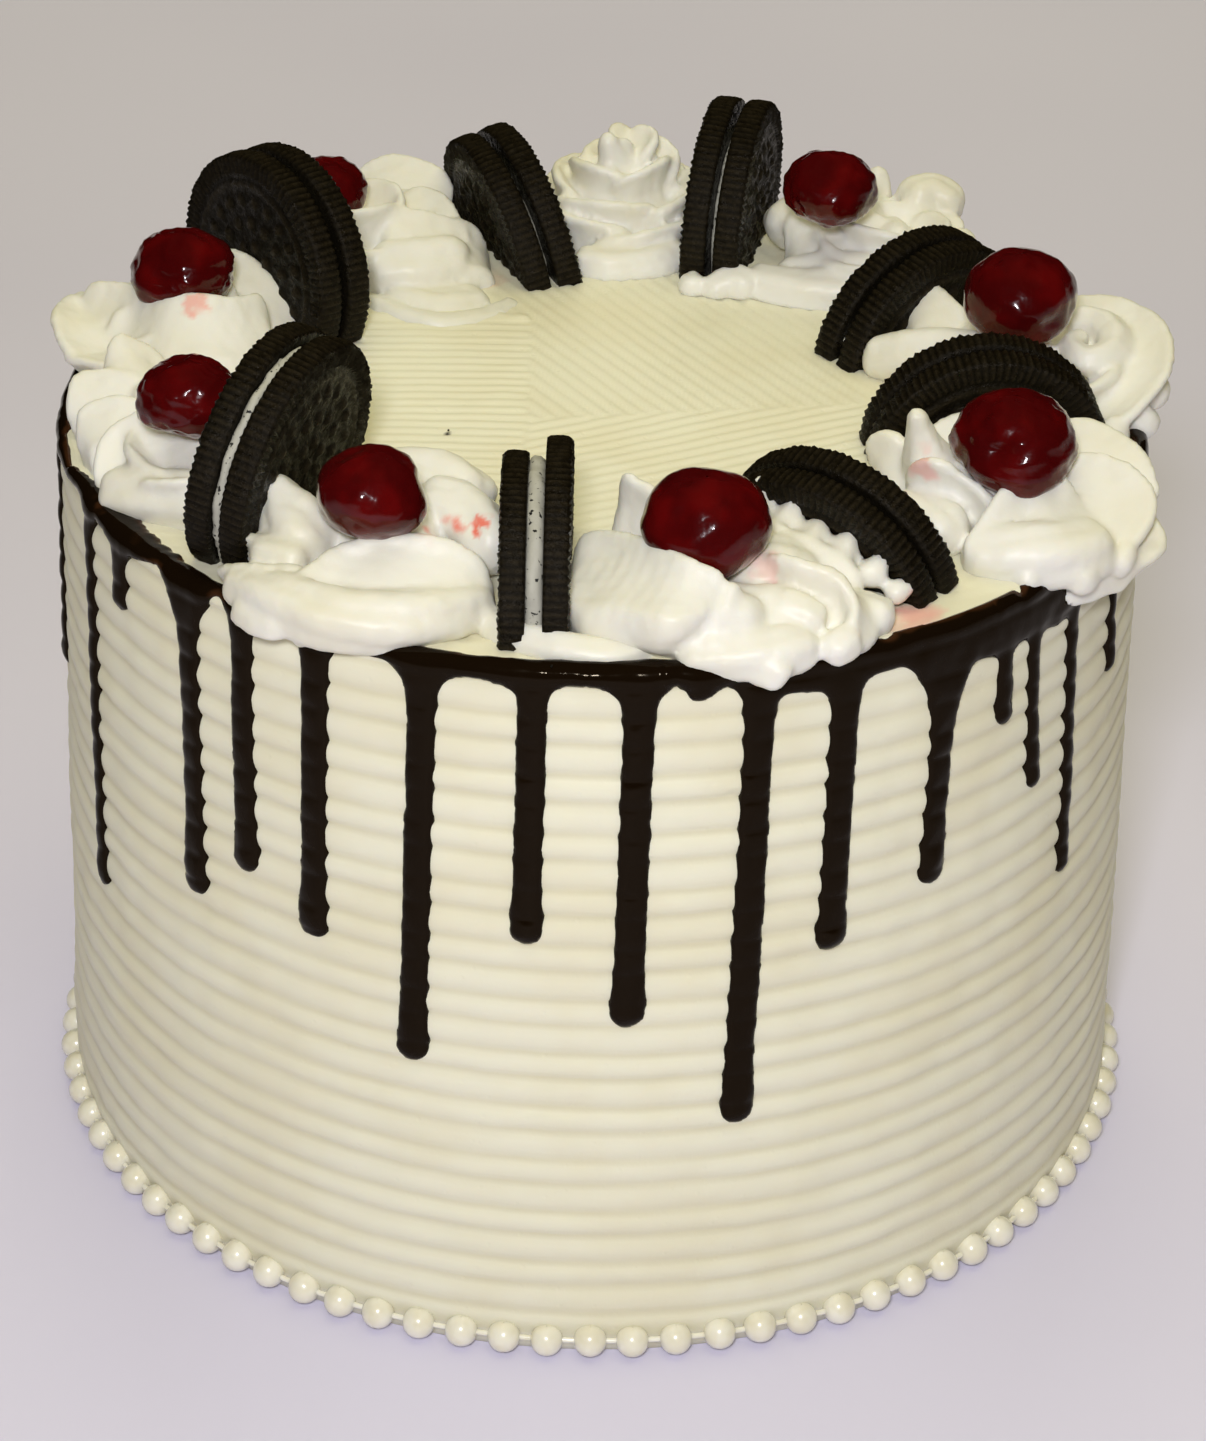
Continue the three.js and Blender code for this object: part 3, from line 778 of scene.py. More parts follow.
def drip_inside(turn, drop, drip):
    """How far inside one drip's edge a spot lies, at an angle and a drop below the top."""
    tip_angle, hang, slant, width, flare, neck = drip
    aside = aside_of(turn, tip_angle + slant * (hang - drop) / hang)
    flared = np.exp(-((np.maximum(drop - 1.5, 0) / neck * 1.55) ** 1.6))
    half = width / 2 + (flare - width) / 2 * flared
    half = half + TIP_BULB * np.exp(-(((drop - hang + BULB_RISE) / BULB_LENGTH) ** 2))
    tip_drop = hang - width / 2
    round_tip = width / 2 + TIP_BULB - np.hypot(aside, drop - tip_drop)
    return np.where(drop < tip_drop, half - aside, round_tip)


# run is the way over the rim, from inside to down the side. It is 0 at the rim's middle.
turns = np.linspace(-180, 180, int(2 * math.pi * TOP_RADIUS / CHOC_STEP), endpoint=False)
runs = np.arange(RUN_FIRST, CHOC_DEEPEST - RIM_ROUND + rim_arc / 2, CHOC_STEP)
run, turn = np.meshgrid(runs, turns, indexing="ij")
down_side = run - rim_arc / 2 + RIM_ROUND
drop = np.where(run > rim_arc / 2, down_side, RIM_ROUND * (run / rim_arc + 0.5))
flat_spot = place(turn, TOP_RADIUS, -run)

inner_edge = np.interp(turn, list(BAND_INNER), list(BAND_INNER.values()))
inner_edge = inner_edge + 0.35 * ripple(flat_spot, 8, 31)
inner_run = inner_edge - (TOP_RADIUS - RIM_ROUND) - rim_arc / 2
hang_low = np.interp(turn, list(BAND_HANG), list(BAND_HANG.values()))
hang_low = hang_low + 0.4 * ripple(flat_spot * np.array([1, 1, 0]), 14, 32)
past_rim = hang_low - RIM_ROUND + rim_arc / 2
on_rim = rim_arc * (hang_low / RIM_ROUND - 0.5)
skirt_run = np.where(hang_low > RIM_ROUND, past_rim, on_rim)
inside_band = np.minimum(run - inner_run, skirt_run - run)
drips_only = np.full_like(run, FAR_OUTSIDE)
for drip in drips:
    drips_only = np.maximum(drips_only, drip_inside(turn, drop, drip))
drips_only = np.where(run < 0, np.minimum(drips_only, run + 1.0), drips_only)
within = soft_max(inside_band, drips_only, ARCH_ROUND)
within += lumps(flat_spot, (0.07, 2.4, 33), (0.1, 6, 34)) * (run > 1)
within += 0.22 * (comb_cut(CAKE_HEIGHT - drop) - 0.4) * (drop > 3)
within += 0.35 * ripple(flat_spot, 3.0, 37) * (run < 0) * (np.abs(turn - LEFT_RIM) < 14)
within = np.where(np.abs(within) < 0.04, 0.04, within)
print("spots inside the chocolate's edge:", int((within > 0).sum()))

# %% Cut it out along its edge


def cut_out(faces, value):
    """The faces where value is over 0, cut along its zero line.

    A cut point is (a, b, share), which lies a share of the way from point a to point b and is
    numbered after the old points. The line is pairs of cut points in order round the faces.
    """
    over = value[faces] > 0
    whole = faces[over.all(axis=1)]
    found, pieces, line = {}, [], []
    for face in faces[over.any(axis=1) & ~over.all(axis=1)].tolist():
        corners, cuts = [], []
        for a, b in zip(face, face[1:] + face[:1]):
            if value[a] > 0:
                corners.append(a)
            if (value[a] > 0) != (value[b] > 0):
                spot = found.setdefault((min(a, b), max(a, b)), len(value) + len(found))
                corners.append(spot)
                cuts.append((spot, value[a] > 0))
        pieces.append(corners)
        for k, (spot, leaving) in enumerate(cuts):
            if leaving:
                line.append((spot, cuts[(k + 1) % len(cuts)][0]))
    cut_points = [(a, b, value[a] / (value[a] - value[b])) for a, b in found]
    return whole, pieces, cut_points, np.array(line)


outward_quads = grid_faces(len(runs), len(turns))[:, ::-1]
whole, pieces, cut_points, edge_line = cut_out(outward_quads, within.ravel())
first, second, share = (np.array(column) for column in zip(*cut_points))
flat_run, flat_turn = run.ravel(), turn.ravel()
edge_run = flat_run[first] + share * (flat_run[second] - flat_run[first])
turned = (flat_turn[second] - flat_turn[first] + 180) % 360 - 180
edge_turn = flat_turn[first] + share * turned
print("points on the chocolate's edge:", len(edge_run))

# %% Wrap it over the rim
DOME = 2.3
SKIN = 0.72
EDGE_LIP = 0.12
TIP_SWELL, SWELL_RISE, SWELL_LENGTH, SWELL_HALF = 0.35, 3.2, 3, 6
ROOT = 1.3


def wrap_over_rim(run, turn, height):
    """Points of the flat map laid over the rim, raised by height off the icing."""
    drop = np.maximum(run - rim_arc / 2, 0) + RIM_ROUND
    under = side_radius(turn, CAKE_HEIGHT - drop, fill=0.6)
    bend = np.clip(run / rim_arc + 0.5, 0, 1) * math.pi / 2
    top_out = TOP_RADIUS - RIM_ROUND + np.minimum(run + rim_arc / 2, 0)
    bent_out = top_out + (RIM_ROUND + under - TOP_RADIUS) * np.sin(bend)
    on_side = run > rim_arc / 2
    out = np.where(on_side, under, bent_out)
    rise = np.where(on_side, CAKE_HEIGHT - drop, CAKE_HEIGHT - RIM_ROUND * (1 - np.cos(bend)))
    return place(turn, out + height * np.sin(bend), rise + height * np.cos(bend))


height = EDGE_LIP + SKIN * np.sqrt(1 - (1 - np.clip(within / DOME, 0, 1)) ** 2)
for tip_angle, hang, *_ in drips:
    swell = np.exp(-(((drop - hang + SWELL_RISE) / SWELL_LENGTH) ** 2))
    swell = swell * (aside_of(turn, tip_angle) < SWELL_HALF)
    height += TIP_SWELL * swell * blend_in(0, 2.5, within)
height += 0.06 * ripple(flat_spot, 5, 35) * blend_in(0.5, 2, within)

skin_points = wrap_over_rim(flat_run, flat_turn, height.ravel())
edge_points = wrap_over_rim(edge_run, edge_turn, EDGE_LIP)
root_points = wrap_over_rim(edge_run, edge_turn, -ROOT)
all_points = np.concatenate([skin_points, edge_points, root_points])
down = len(edge_run)
leaving, coming = edge_line.T
walls = np.stack([coming, leaving, leaving + down, coming + down], -1)
used = np.unique(np.concatenate([whole.ravel(), walls.ravel(), np.concatenate(pieces)]))
renumber = np.zeros(len(all_points), int)
renumber[used] = np.arange(len(used))
cut_faces = [renumber[np.array(corners)][None, :] for corners in pieces]
skin_faces = [renumber[whole], renumber[walls]] + cut_faces
chocolate = new_piece("chocolate_skin", all_points[used], skin_faces)
thinness = 1 - blend_in(0.1, 1.3, within) + 0.35 * ripple(flat_spot, 7, 36) * (run < 0)
thinness = thinness * (1 - blend_in(-0.5, 2.0, run))
left_rim = np.clip(1.3 - np.abs(turn + 62) / 4.5, 0, 1) * (1 - blend_in(-0.8, 0.4, run))
thinness = thinness + left_rim * (0.55 + 0.45 * ripple(flat_spot, 3, 38))
edge_thinness = thinness.ravel()[first]
thinness = np.concatenate([thinness.ravel(), edge_thinness, edge_thinness])
brush(chocolate, "thin", thinness[used])
finish_piece(chocolate, ["chocolate"], chocolate_finish)

# %% [markdown]
# ## Piping cream
#
# A piped shape is a rope of cream pushed out of a star nozzle, which leaves folds along it with
# creases between. Each stroke of the bag is a smooth path with a thickness at each point, and
# the star shape is swept along it. The strokes of a rosette are then melted into one skin with a
# voxel Remesh, which is how wet cream joins, and smoothed a little, which softens its folds.

# %% A rope of cream
ROPE_STEP = 0.9
ROPE_SIDES = 48
FOLDS = 5
FOLD_POWER = 0.8
CREASE = 0.16
TWIST_LENGTH = 20
END_SHARE = 0.8


def smooth_path(knots, count):
    """Catmull-Rom points through the knots."""
    k = np.vstack([2 * knots[0] - knots[1], knots, 2 * knots[-1] - knots[-2]])
    t = np.linspace(0, len(knots) - 1 - 1e-6, count)
    i = t.astype(int)
    f = (t - i)[:, None]
    a, b, c, d = k[i], k[i + 1], k[i + 2], k[i + 3]
    bend, twist = 2 * a - 5 * b + 4 * c - d, 3 * b - a - 3 * c + d
    return 0.5 * (2 * b + (c - a) * f + bend * f**2 + twist * f**3)


def round_ends(along, start, end):
    """From 0 to 1 and back along a rope, as the outline of its two round ends."""
    length = along[-1]
    near_start = np.clip(1 - along / start, 0, 1)
    near_end = np.clip(1 - (length - along) / end, 0, 1)
    return np.sqrt(np.clip(1 - near_start**2, 0.02, 1)) * np.sqrt(np.clip(1 - near_end**2, 0.02, 1))


def end_faces(sides, count):
    """The two faces that close a tube of count rings."""
    first = np.arange(sides)[::-1][None, :]
    last = (np.arange(sides) + (count - 1) * sides)[None, :]
    return [first, last]


def rope(knots, turn=0.6, phase=0.0):
    """A star-shaped rope through (x, y, z, radius) knots, with round ends."""
    knots = np.array(knots, float)
    length = np.linalg.norm(np.diff(knots[:, :3], axis=0), axis=1).sum()
    count = max(14, int(length / ROPE_STEP))
    path = smooth_path(knots, count)
    ahead = np.gradient(path[:, :3], axis=0)
    ahead /= np.linalg.norm(ahead, axis=1)[:, None]
    side = np.cross(ahead[0], Z_UP if abs(ahead[0][2]) < 0.9 else np.array([1.0, 0, 0]))
    along = np.linspace(0, length, count)
    caps = round_ends(along, path[0, 3] * END_SHARE, path[-1, 3] * END_SHARE)
    theta = np.linspace(0, 2 * np.pi, ROPE_SIDES, endpoint=False)
    across, upward = np.cos(theta)[:, None], np.sin(theta)[:, None]
    rings = []
    for n in range(count):
        side = side - ahead[n] * (side @ ahead[n])
        side /= np.linalg.norm(side)
        over = np.cross(side, ahead[n])
        twisted = theta + phase + turn * along[n] / TWIST_LENGTH
        star = np.abs(np.cos(FOLDS * twisted / 2)) ** FOLD_POWER
        radius = path[n, 3] * caps[n] * (1 - CREASE * (1 - star))
        rings.append(path[n, :3] + radius[:, None] * (across * side + upward * over))
    faces = [grid_faces(count, ROPE_SIDES), *end_faces(ROPE_SIDES, count)]
    return np.concatenate(rings), faces


print("points in a test rope:", len(rope([(0, 0, 0, 5), (20, 0, 0, 5)])[0]))

# %% [markdown]
# ## A petal of cream
#
# Where the nozzle lifts or the bag turns, cream is drawn out into a flap: thick at its foot and
# thin and crisp at its edge. A petal is swept like a rope, but each of its cross-sections is a
# wedge. Each knot says where the edge is and how far from there the foot lies.

# %% A petal of cream
PETAL_EDGE = 1.0
PETAL_LEVELS = 8
PETAL_STEP = 0.8
PETAL_SHARE, PETAL_THINNEST, PETAL_THICKEST = 0.58, 2.4, 5.5
PETAL_POWER = 1.7
END_DROOP = 0.45


def petal(knots):
    """A flap through (x, y, z, to_foot_x, to_foot_y, to_foot_z) knots."""
    knots = np.array(knots, float)
    length = np.linalg.norm(np.diff(knots[:, :3] + knots[:, 3:] / 2, axis=0), axis=1).sum()
    count = max(12, int(length / PETAL_STEP))
    path = smooth_path(knots, count)
    edge, span = path[:, :3], path[:, 3:]
    ahead = np.gradient(edge + span / 2, axis=0)
    ahead /= np.linalg.norm(ahead, axis=1)[:, None]
    aside = np.cross(ahead, span)
    aside /= np.linalg.norm(aside, axis=1)[:, None]
    deep = np.linalg.norm(span, axis=1)[:, None]
    down = span / deep
    thick = np.clip(PETAL_SHARE * deep, PETAL_THINNEST, PETAL_THICKEST)
    along = np.linspace(0, length, count)[:, None]
    from_end = np.minimum(along, length - along) / (0.7 * thick)
    full = np.sqrt(np.clip(1 - (1 - np.clip(from_end, 0, 1)) ** 2, 0.03, 1))
    edge = edge + span * (1 - full) * END_DROOP
    rings = []

    def round_end(middle, radius, angles):
        for a in angles:
            rings.append(middle + radius * full * (math.cos(a) * aside + math.sin(a) * down))

    levels = np.linspace(0, 1, PETAL_LEVELS)
    radii = [PETAL_EDGE + (thick - PETAL_EDGE) * level**PETAL_POWER for level in levels]
    for level, radius in zip(levels, radii):
        rings.append(edge + span * level + aside * radius * full)
    round_end(edge + span, radii[-1], np.linspace(0, math.pi, 9)[1:-1])
    for level, radius in reversed(list(zip(levels, radii))):
        rings.append(edge + span * level - aside * radius * full)
    round_end(edge, radii[0], np.linspace(math.pi, 2 * math.pi, 6)[1:-1])
    points = np.stack(rings, 1).reshape(-1, 3)
    return points, [grid_faces(count, len(rings)), *end_faces(len(rings), count)]


def flap(edge_knots, to_foot):
    """A petal's knots where the way to its foot is the same all along."""
    return [tuple(knot) + tuple(to_foot) for knot in edge_knots]


def arc_flap(start, sweep, out, high, lean=-4, deep=7, arch=2):
    """A petal's knots on an arc round the rosette's middle, out and high at its two ends."""
    t = np.linspace(0, 1, 5)
    a = np.radians(start + sweep * t)
    reach = out[0] + (out[1] - out[0]) * t
    z = high[0] + (high[1] - high[0]) * t + arch * np.sin(np.pi * t)
    away = np.stack([np.sin(a), -np.cos(a)], -1)
    return np.column_stack([away * reach[:, None], z, away * lean, np.full(5, -deep)])


def ruffle(seed, tiers):
    """Tiers of overlapping petals. Each tier is (distance out, height, how many)."""
    random = np.random.default_rng(seed)
    petals = []
    for out, high, count in tiers:
        start = random.uniform(0, 360)
        for k in range(count):
            sweep = 360 / count * random.uniform(1.15, 1.4)
            reach = out + random.uniform(-0.8, 1.2)
            top = high + random.uniform(-1, 1)
            begin = start + 360 * k / count
            petals.append(arc_flap(begin, sweep, (reach, reach - 3), (top, top + 1)))
    return petals


print("points in a test petal:", len(petal(flap([(0, 0, 5), (20, 0, 5)], (0, -2, -5)))[0]))

# %% [markdown]
# ## The nine rosettes
#
# Each rosette was pushed out by hand and then pressed by a cherry, so no two are alike. Each has
# its own strokes: a swirl or two for its body, folds across its front, and peaks pulled up where
# the nozzle left it. Strokes are given from the rosette's middle, to the right, to the back and
# up from the cake's top, with the rope's radius, as (x, y, z, radius). A petal's knots have six
# numbers, or are given by flap, which adds the same way to the foot to each.

# %% Where the rosettes stand
ROSETTE_STEP = 40
ROSETTE_FIRST = -23
ROSETTE_PLACES = [(-3, 76), (0, 77), (0, 78), (0, 79), (0, 83), (0, 82), (0, 83), (0, 79), (0, 78)]
VOXEL = 0.7


def rosette_middle(i):
    """Where the point (0, 0, 0) of a rosette's strokes stands on the cake."""
    slip, out = ROSETTE_PLACES[i]
    return place(ROSETTE_FIRST + i * ROSETTE_STEP + slip, out, CAKE_HEIGHT)


print("middle of the front left rosette:", rosette_middle(0).round(1))

# %% The front left rosette
FRONT_LEFT = [
    [(-13, -1, 3, 9), (-17, 2, 7, 7.2), (-20, 5, 11.5, 4.8), (-22, 6.5, 16.5, 1.6)],
    [(-15, -5, 5, 5), (-20, -4, 6, 4), (-25, -2, 7, 2.4)],
    flap(
        [(-18, -15, 6.5), (-10, -9, 10.5), (0, -8, 12), (8, -8.5, 11.5), (15, -10, 8)],
        (1, -3, -6),
    ),
    [
        (-28, -6, 2.6, 3.6), (-20, -14, 3.4, 5), (-9, -19.5, 3.2, 5.6), (4, -18.5, 3, 5.4),
        (15, -11.5, 2.6, 4.4),
    ],
    [(-13, 3, 4, 7), (-4, 4, 4, 9), (6, 4, 3, 8)],
    [(-6, 20, 4, 7), (1, 22, 6, 7.4), (8, 20, 6, 6.6), (12, 15, 5, 6)],
    [(1, 13, 6, 6.5), (8, 11, 6.5, 6.6), (13, 5, 6, 5.8), (15, -2, 4, 5)],
    flap([(-15, 12, 6), (-10, 19, 8), (-3, 23, 9)], (4, -4, -6)),
    flap([(-30, 6, 5), (-28, 1, 7.5), (-22, -3, 8.5), (-15, -5, 9)], (6, 2, -6)),
    flap([(-31, -3, 3), (-28, -7, 5.5), (-22, -10, 7.5), (-15, -11, 8)], (5, 1, -5)),
    [(-27, -12, 1, 2.6), (-23, -16, 0.8, 2.6), (-18, -19.5, 0.8, 2.4)],
    [
        (14, -15, 0.6, 3.4), (21, -20.5, 0.4, 3.6), (29, -24, 0.2, 3.4), (36, -24.5, -0.2, 3),
        (42, -21, -0.4, 2.4),
    ],
    [(20, -8, 1, 3), (21, 2, 1, 3), (20, 12, 1, 2.6)],
]
print("strokes of the front left rosette:", len(FRONT_LEFT))

# %% The front right rosette
FRONT_RIGHT = [
    flap([(-20.4, 15.6, 17.4), (-17.5, 13, 15.4), (-14.5, 11, 14.6), (-11, 9, 13)], (0.5, 1, -12)),
    [
        (-27.7, 8.8, 7, -0.5, -14, -5), (-21.6, 3.8, 10, -1.4, -15.5, -8),
        (-15.3, -4.8, 13, -1.5, -10, -8.5), (-9.2, -13, 14.2, -1.8, -5.5, -8),
        (-2.4, -15.2, 12.4, -2.6, -1.5, -4.5),
    ],
    [(-1.6, -14.4, 11.8, 1.7), (-2.8, -17.2, 8, 2.2), (-4.8, -18.8, 4, 2.6), (-9, -19.5, 1.5, 3)],
    [
        (-27, -2, 1.5, 4.6), (-20, -9, 2.6, 5.6), (-12, -14, 3.4, 6.4), (-4, -15, 3.6, 6.8),
        (4, -14, 3, 6),
    ],
    [(-4, -2, 4, 9), (6, 0, 4, 8), (12, 3, 3.5, 6.5)],
    [(-17, 11, 2, 4), (-11, 7, 3, 5.6), (-4, 1, 4, 7.5)],
    [(-6, -9, 2.5, 7), (3, -10.5, 2.2, 6.4), (12, -10, 2, 6.4)],
    [
        (2, -4, 11.5, 2, 3, -9), (9.3, -9, 12, 3, 2, -9), (15, -10.2, 10.4, 3, 1, -8),
        (17.8, -13.2, 7.4, 1, 0, -6), (17.5, -17, 4.4, -1, 0, -3),
    ],
    [(17.5, -14.5, 3, 3), (16, -17, 1.6, 3.2), (12.5, -18.8, 0.8, 3)],
    [(-11, -19.5, 0.8, 3.4), (-3, -20.5, 1, 4), (5, -19.5, 1, 4.4), (12, -16.5, 1, 4)],
    [(0, -20.5, 0, 3), (5, -22, -0.6, 3.6), (7.5, -22.5, -1.8, 2.8)],
    [(5, -11, 6.5, 3), (9.5, -13, 5.4, 3), (13.5, -14.5, 3.6, 2.8)],
    [(3, 12, 8, 5), (3.6, 14.5, 12, 3), (3.8, 16.3, 15.5, 1.2)],
    [(7, 9, 7, 5), (8.4, 10, 10.6, 3), (9.4, 11.4, 13.4, 1.2)],
    [(11, 5, 6, 4.8), (12.6, 6.5, 9.4, 2.8), (13.6, 8, 11.6, 1.1)],
    [(16, 3, 5, 4), (17.8, 4.6, 8.6, 2.4), (18.6, 6, 10.6, 1)],
    [(20.5, 0, 3, 3.6), (22.7, 1.4, 6.4, 2.2), (23.8, 2.4, 8, 1)],
    [(24, -2, 2, 3), (27, -0.5, 3, 2), (29, 0, 3, 1)],
    flap([(2, 10, 11), (8, 5, 10.6), (14, 2.5, 9), (20, -1.5, 6.4)], (1, -4, -6)),
    [(15, -5, 2.5, 4), (21.5, -7.8, 2, 3.8), (25.2, -9, 1.8, 3.2)],
    [(-30, -6, 0.8, 3), (-30, 3, 0.8, 3), (-28, 11, 0.8, 2.6)],
]
print("strokes of the front right rosette:", len(FRONT_RIGHT))

# %% The right rosette
RIGHT_FRONT = [
    [(-6, 3, 4, 7), (-9.5, 4, 9, 4.8), (-11, 3.5, 14, 3), (-12.5, 3, 19.5, 1.3)],
    flap([(-21, 11, 8), (-17, 10, 11), (-12, 7, 11)], (4, -2, -7)),
    flap([(-15, -1, 9), (-9.6, -5.5, 13.5), (-4, -7, 11), (1, -10, 8)], (3, 3, -7)),
    flap([(6, -7, 14), (2, -11.5, 11), (-2, -16, 7), (-6, -20.5, 3)], (9, 1, -8)),
    flap([(5, -8, 14), (10, -6.5, 12), (15, -6, 11)], (1, -7, -9)),
    flap([(9, 14, 9), (16, 13, 12.5), (23, 9, 12.5), (28, 2, 10), (30, -5, 5)], (-9, -5, -7)),
    flap([(13, 2, 11), (19, 1, 12), (25, -3, 11), (28, -9, 7.5), (25, -15, 3)], (-8, -2, -7)),
    flap([(20, 5, 9), (25, 0, 7), (30, -8, 1.5), (28, -14, -0.5)], (-7, -1, -3)),
    [(-15, -1, 2, 6), (-10, -8, 2.5, 6), (-4, -13, 2, 5.4)],
    [(-5, -16, 1.5, 4.4), (4, -17.5, 2, 6), (13, -16.5, 2, 6), (20, -12, 2, 5.4)],
    [(4, -20, 0.5, 3.6), (8.5, -22.5, -0.5, 3.2)],
    [(14, -18, 0, 4), (17.5, -20.5, -2, 3.2)],
    [(21, -14, 0.5, 4), (25, -15, -0.5, 3.2)],
    flap([(-12, 14, 7), (-4, 19, 10), (5, 19, 11), (12, 15, 10)], (1, -6, -7)),
    [(-6, -1, 4, 9), (5, 2, 4, 9)],
]
print("strokes of the right rosette:", len(RIGHT_FRONT))

# %% The other rosettes
CORE = [(-5, 0, 4, 9), (5, 1, 4, 9)]
RIGHT_BACK = [
    CORE,
    flap([(-36, 14, 4), (-33, 17, 8), (-29, 18, 7)], (5, -3, -5)),
    flap([(-29, 21, 7), (-27, 23, 11.5), (-22, 20, 10)], (3, -4, -7)),
    flap([(-23, 19, 10), (-18, 18, 12.5), (-13, 15, 10.5), (-8, 12, 7)], (1, -6, -8)),
    [(-30, 9, 1.5, 4), (-22, 6, 3, 6), (-12, 2, 4, 7), (-2, -4, 4, 7)],
    arc_flap(170, -140, (22.5, 26.5), (8, 3), lean=-9, deep=7, arch=6),
    [
        (8, 12, 8, 4), (14, 7, 9.5, 3.6), (15, -1, 9, 3.4), (10, -5.5, 8.5, 3),
        (7, -1, 9.5, 2.4), (10, 3, 10, 1.8),
    ],
    [(20, -2, 2, 4), (24.5, -6.5, 2, 3)],
    [(17, -12, 1, 4), (21.5, -16, 0, 3)],
    [(10, -20, 1, 4.4), (16, -21, 0.5, 3.6)],
] + ruffle(4, [(17, 6, 3)])
BACK_RIGHT = [
    CORE,
    [(-24, 9, 4, 5), (-18, 11, 6.5, 6), (-10, 8, 7, 7), (-2, 4, 6, 7)],
    flap([(-22, 6, 8), (-15, 8, 12), (-7, 5, 12), (2, 0, 9)], (1, -7, -8)),
    [(-23, -4, 1.5, 4), (-12, -7, 2.5, 5.6), (0, -10, 2.5, 5.6), (10, -10, 2, 5)],
    [(-6, 16, 5, 6), (-3, 19, 10, 4), (-2, 20, 15, 1.8)],
    [(2, 12, 9, 5.4), (8, 15, 10.4, 5), (14, 12, 8, 4.4)],
    [(2, 10, 3.4, 7), (9, 10, 3, 7), (14, 9, 2.6, 6)],
    [(-47, -4.5, 0.4, 2), (-43.5, -7.5, 1.4, 3.2)],
    [(-42, -9, 0.6, 2.2), (-37, -8, 1.8, 3.4)],
    [(-37, -11, 0.4, 2.4), (-32, -8.5, 2, 3.6), (-27, -11.5, 1.2, 3.4)],
    [(-29, -6, 1.2, 3.6), (-22, -10.5, 1.4, 4.4), (-13, -12.5, 1.6, 4.8), (-4, -13, 1.6, 4.8)],
] + ruffle(5, [(17, 6, 4), (11, 9, 3)])
BACK_MIDDLE = [
    CORE,
    [(0, -1, 9, 6.6), (-1, -2, 13.5, 4.6), (-3, -4, 18, 2.8), (-4.2, -5, 22.4, 1.2)],
    [(-15, -26, 1.5, 2.4), (-12, -24.5, 1.5, 2.8)],
    flap([(-12, 6, 11), (-6, 2, 14), (1, 1, 14), (8, 3, 12)], (1, -6, -8)),
    flap([(3, 3, 11), (7, 0, 13.5), (11, -1, 11)], (-1, -2, -8)),
    [(-10, -19, 1, 3.6), (-3, -21.5, 1, 4), (5, -20, 1, 4), (12, -15, 1.5, 4)],
] + ruffle(6, [(19, 5, 5), (15, 9, 4), (11, 13, 4), (6, 17, 3)])
BACK_LEFT = [
    CORE,
    flap([(-2, 25, 6), (6, 26.5, 9.6), (14, 23, 10.2), (21, 18, 7.5)], (-3, -7, -7)),
    [
        (4, -20, -1.2, 3), (12, -27, -1.4, 3), (20, -30, -1.6, 3), (28, -26, -1.6, 2.8),
        (33, -19, -1.4, 2.4),
    ],
    [(8, -18, -2.4, 5), (18, -22, -2.6, 5.4), (28, -17, -2.6, 5)],
    [(4, -14, 2.5, 5.6), (14, -13, 3, 6.4), (24, -8, 3, 6)],
    flap([(6, -3, 12), (13, -4, 11), (20, -3, 9), (27, 0, 6)], (1, -8, -8)),
    flap([(12, 12, 10), (18, 6, 10), (22, -2, 8), (24, -9, 5)], (-6, -1, -6)),
] + ruffle(7, [(18, 6, 4), (12, 10, 3)])
LEFT_BACK = [
    CORE,
    arc_flap(-45, -85, (24, 24), (5, 6), lean=-10, deep=6, arch=3),
    arc_flap(5, -70, (20, 25), (5, 5), lean=-8, deep=5, arch=2),
    flap(
        [(-20.6, 8.4, 10), (-11, 3, 13), (-1, -6, 15.5), (8, -6, 14.5), (15, 2, 12)],
        (1, -7, -10),
    ),
    flap([(-16, 7, 8), (-8, 8, 12), (1, 7.5, 13), (9, 9, 11.5)], (1, -5, -7)),
    [(-20, 8, 5, 6), (-21, 10, 8, 4.6)],
    flap([(-8, 13, 9), (1, 18, 13), (9, 18, 13), (16, 13, 9), (21, 10, 4)], (-1, -7, -8)),
    flap([(-15, -3, 8), (-8, 0, 11), (1, 1.5, 11.5), (9, -1, 9)], (1, -7, -8)),
    flap([(-13, -11, 6), (-4, -11, 9), (6, -9, 9), (15, -5, 7)], (1, -6, -7)),
    [(-16, -16, 1.5, 4.4), (-6, -20, 2, 5), (6, -19, 2, 5), (15, -13, 2, 4.6)],
]
LEFT_FRONT = [
    [(-9, 13, 3, 9), (4, 10, 4, 9.5), (8, 0, 4, 9)],
    flap([(-27, 21, 5), (-24, 25, 9), (-18, 25, 10), (-11, 23, 10)], (4, -5, -7)),
    flap([(-21, 28, 9), (-17.5, 31, 14), (-13, 32, 12), (-8, 31, 9)], (3, -5, -8)),
    flap([(-24, 12, 4), (-22, 15, 7.5), (-17, 15, 9.5), (-10, 14, 10)], (3, -5, -6)),
    flap([(-20, 0, 3.5), (-16, 6, 8), (-9, 7, 11), (-3, 4, 13), (3, 0, 13)], (4, -6, -9)),
    [(-17, -3, 1.2, 4.4), (-8, -8, 2, 5.8), (2, -12, 3, 6), (12, -14, 3, 6)],
    flap([(0, 20, 9), (7, 17, 12), (13, 10, 11)], (-3, -5, -7)),
    flap([(-14, 22, 9), (-8, 18, 12), (-2, 12, 12)], (-1, -7, -7)),
] + ruffle(9, [(15, 6, 3)])
ROSETTE_STROKES = [
    FRONT_LEFT, FRONT_RIGHT, RIGHT_FRONT, RIGHT_BACK, BACK_RIGHT, BACK_MIDDLE, BACK_LEFT,
    LEFT_BACK, LEFT_FRONT,
]
print("strokes in all:", sum(len(s) for s in ROSETTE_STROKES))

# %% Pipe the rosettes
SMALLEST_ISLAND = 300
REACH_INTO_TOP = 0.4
OVER_RIM = 1


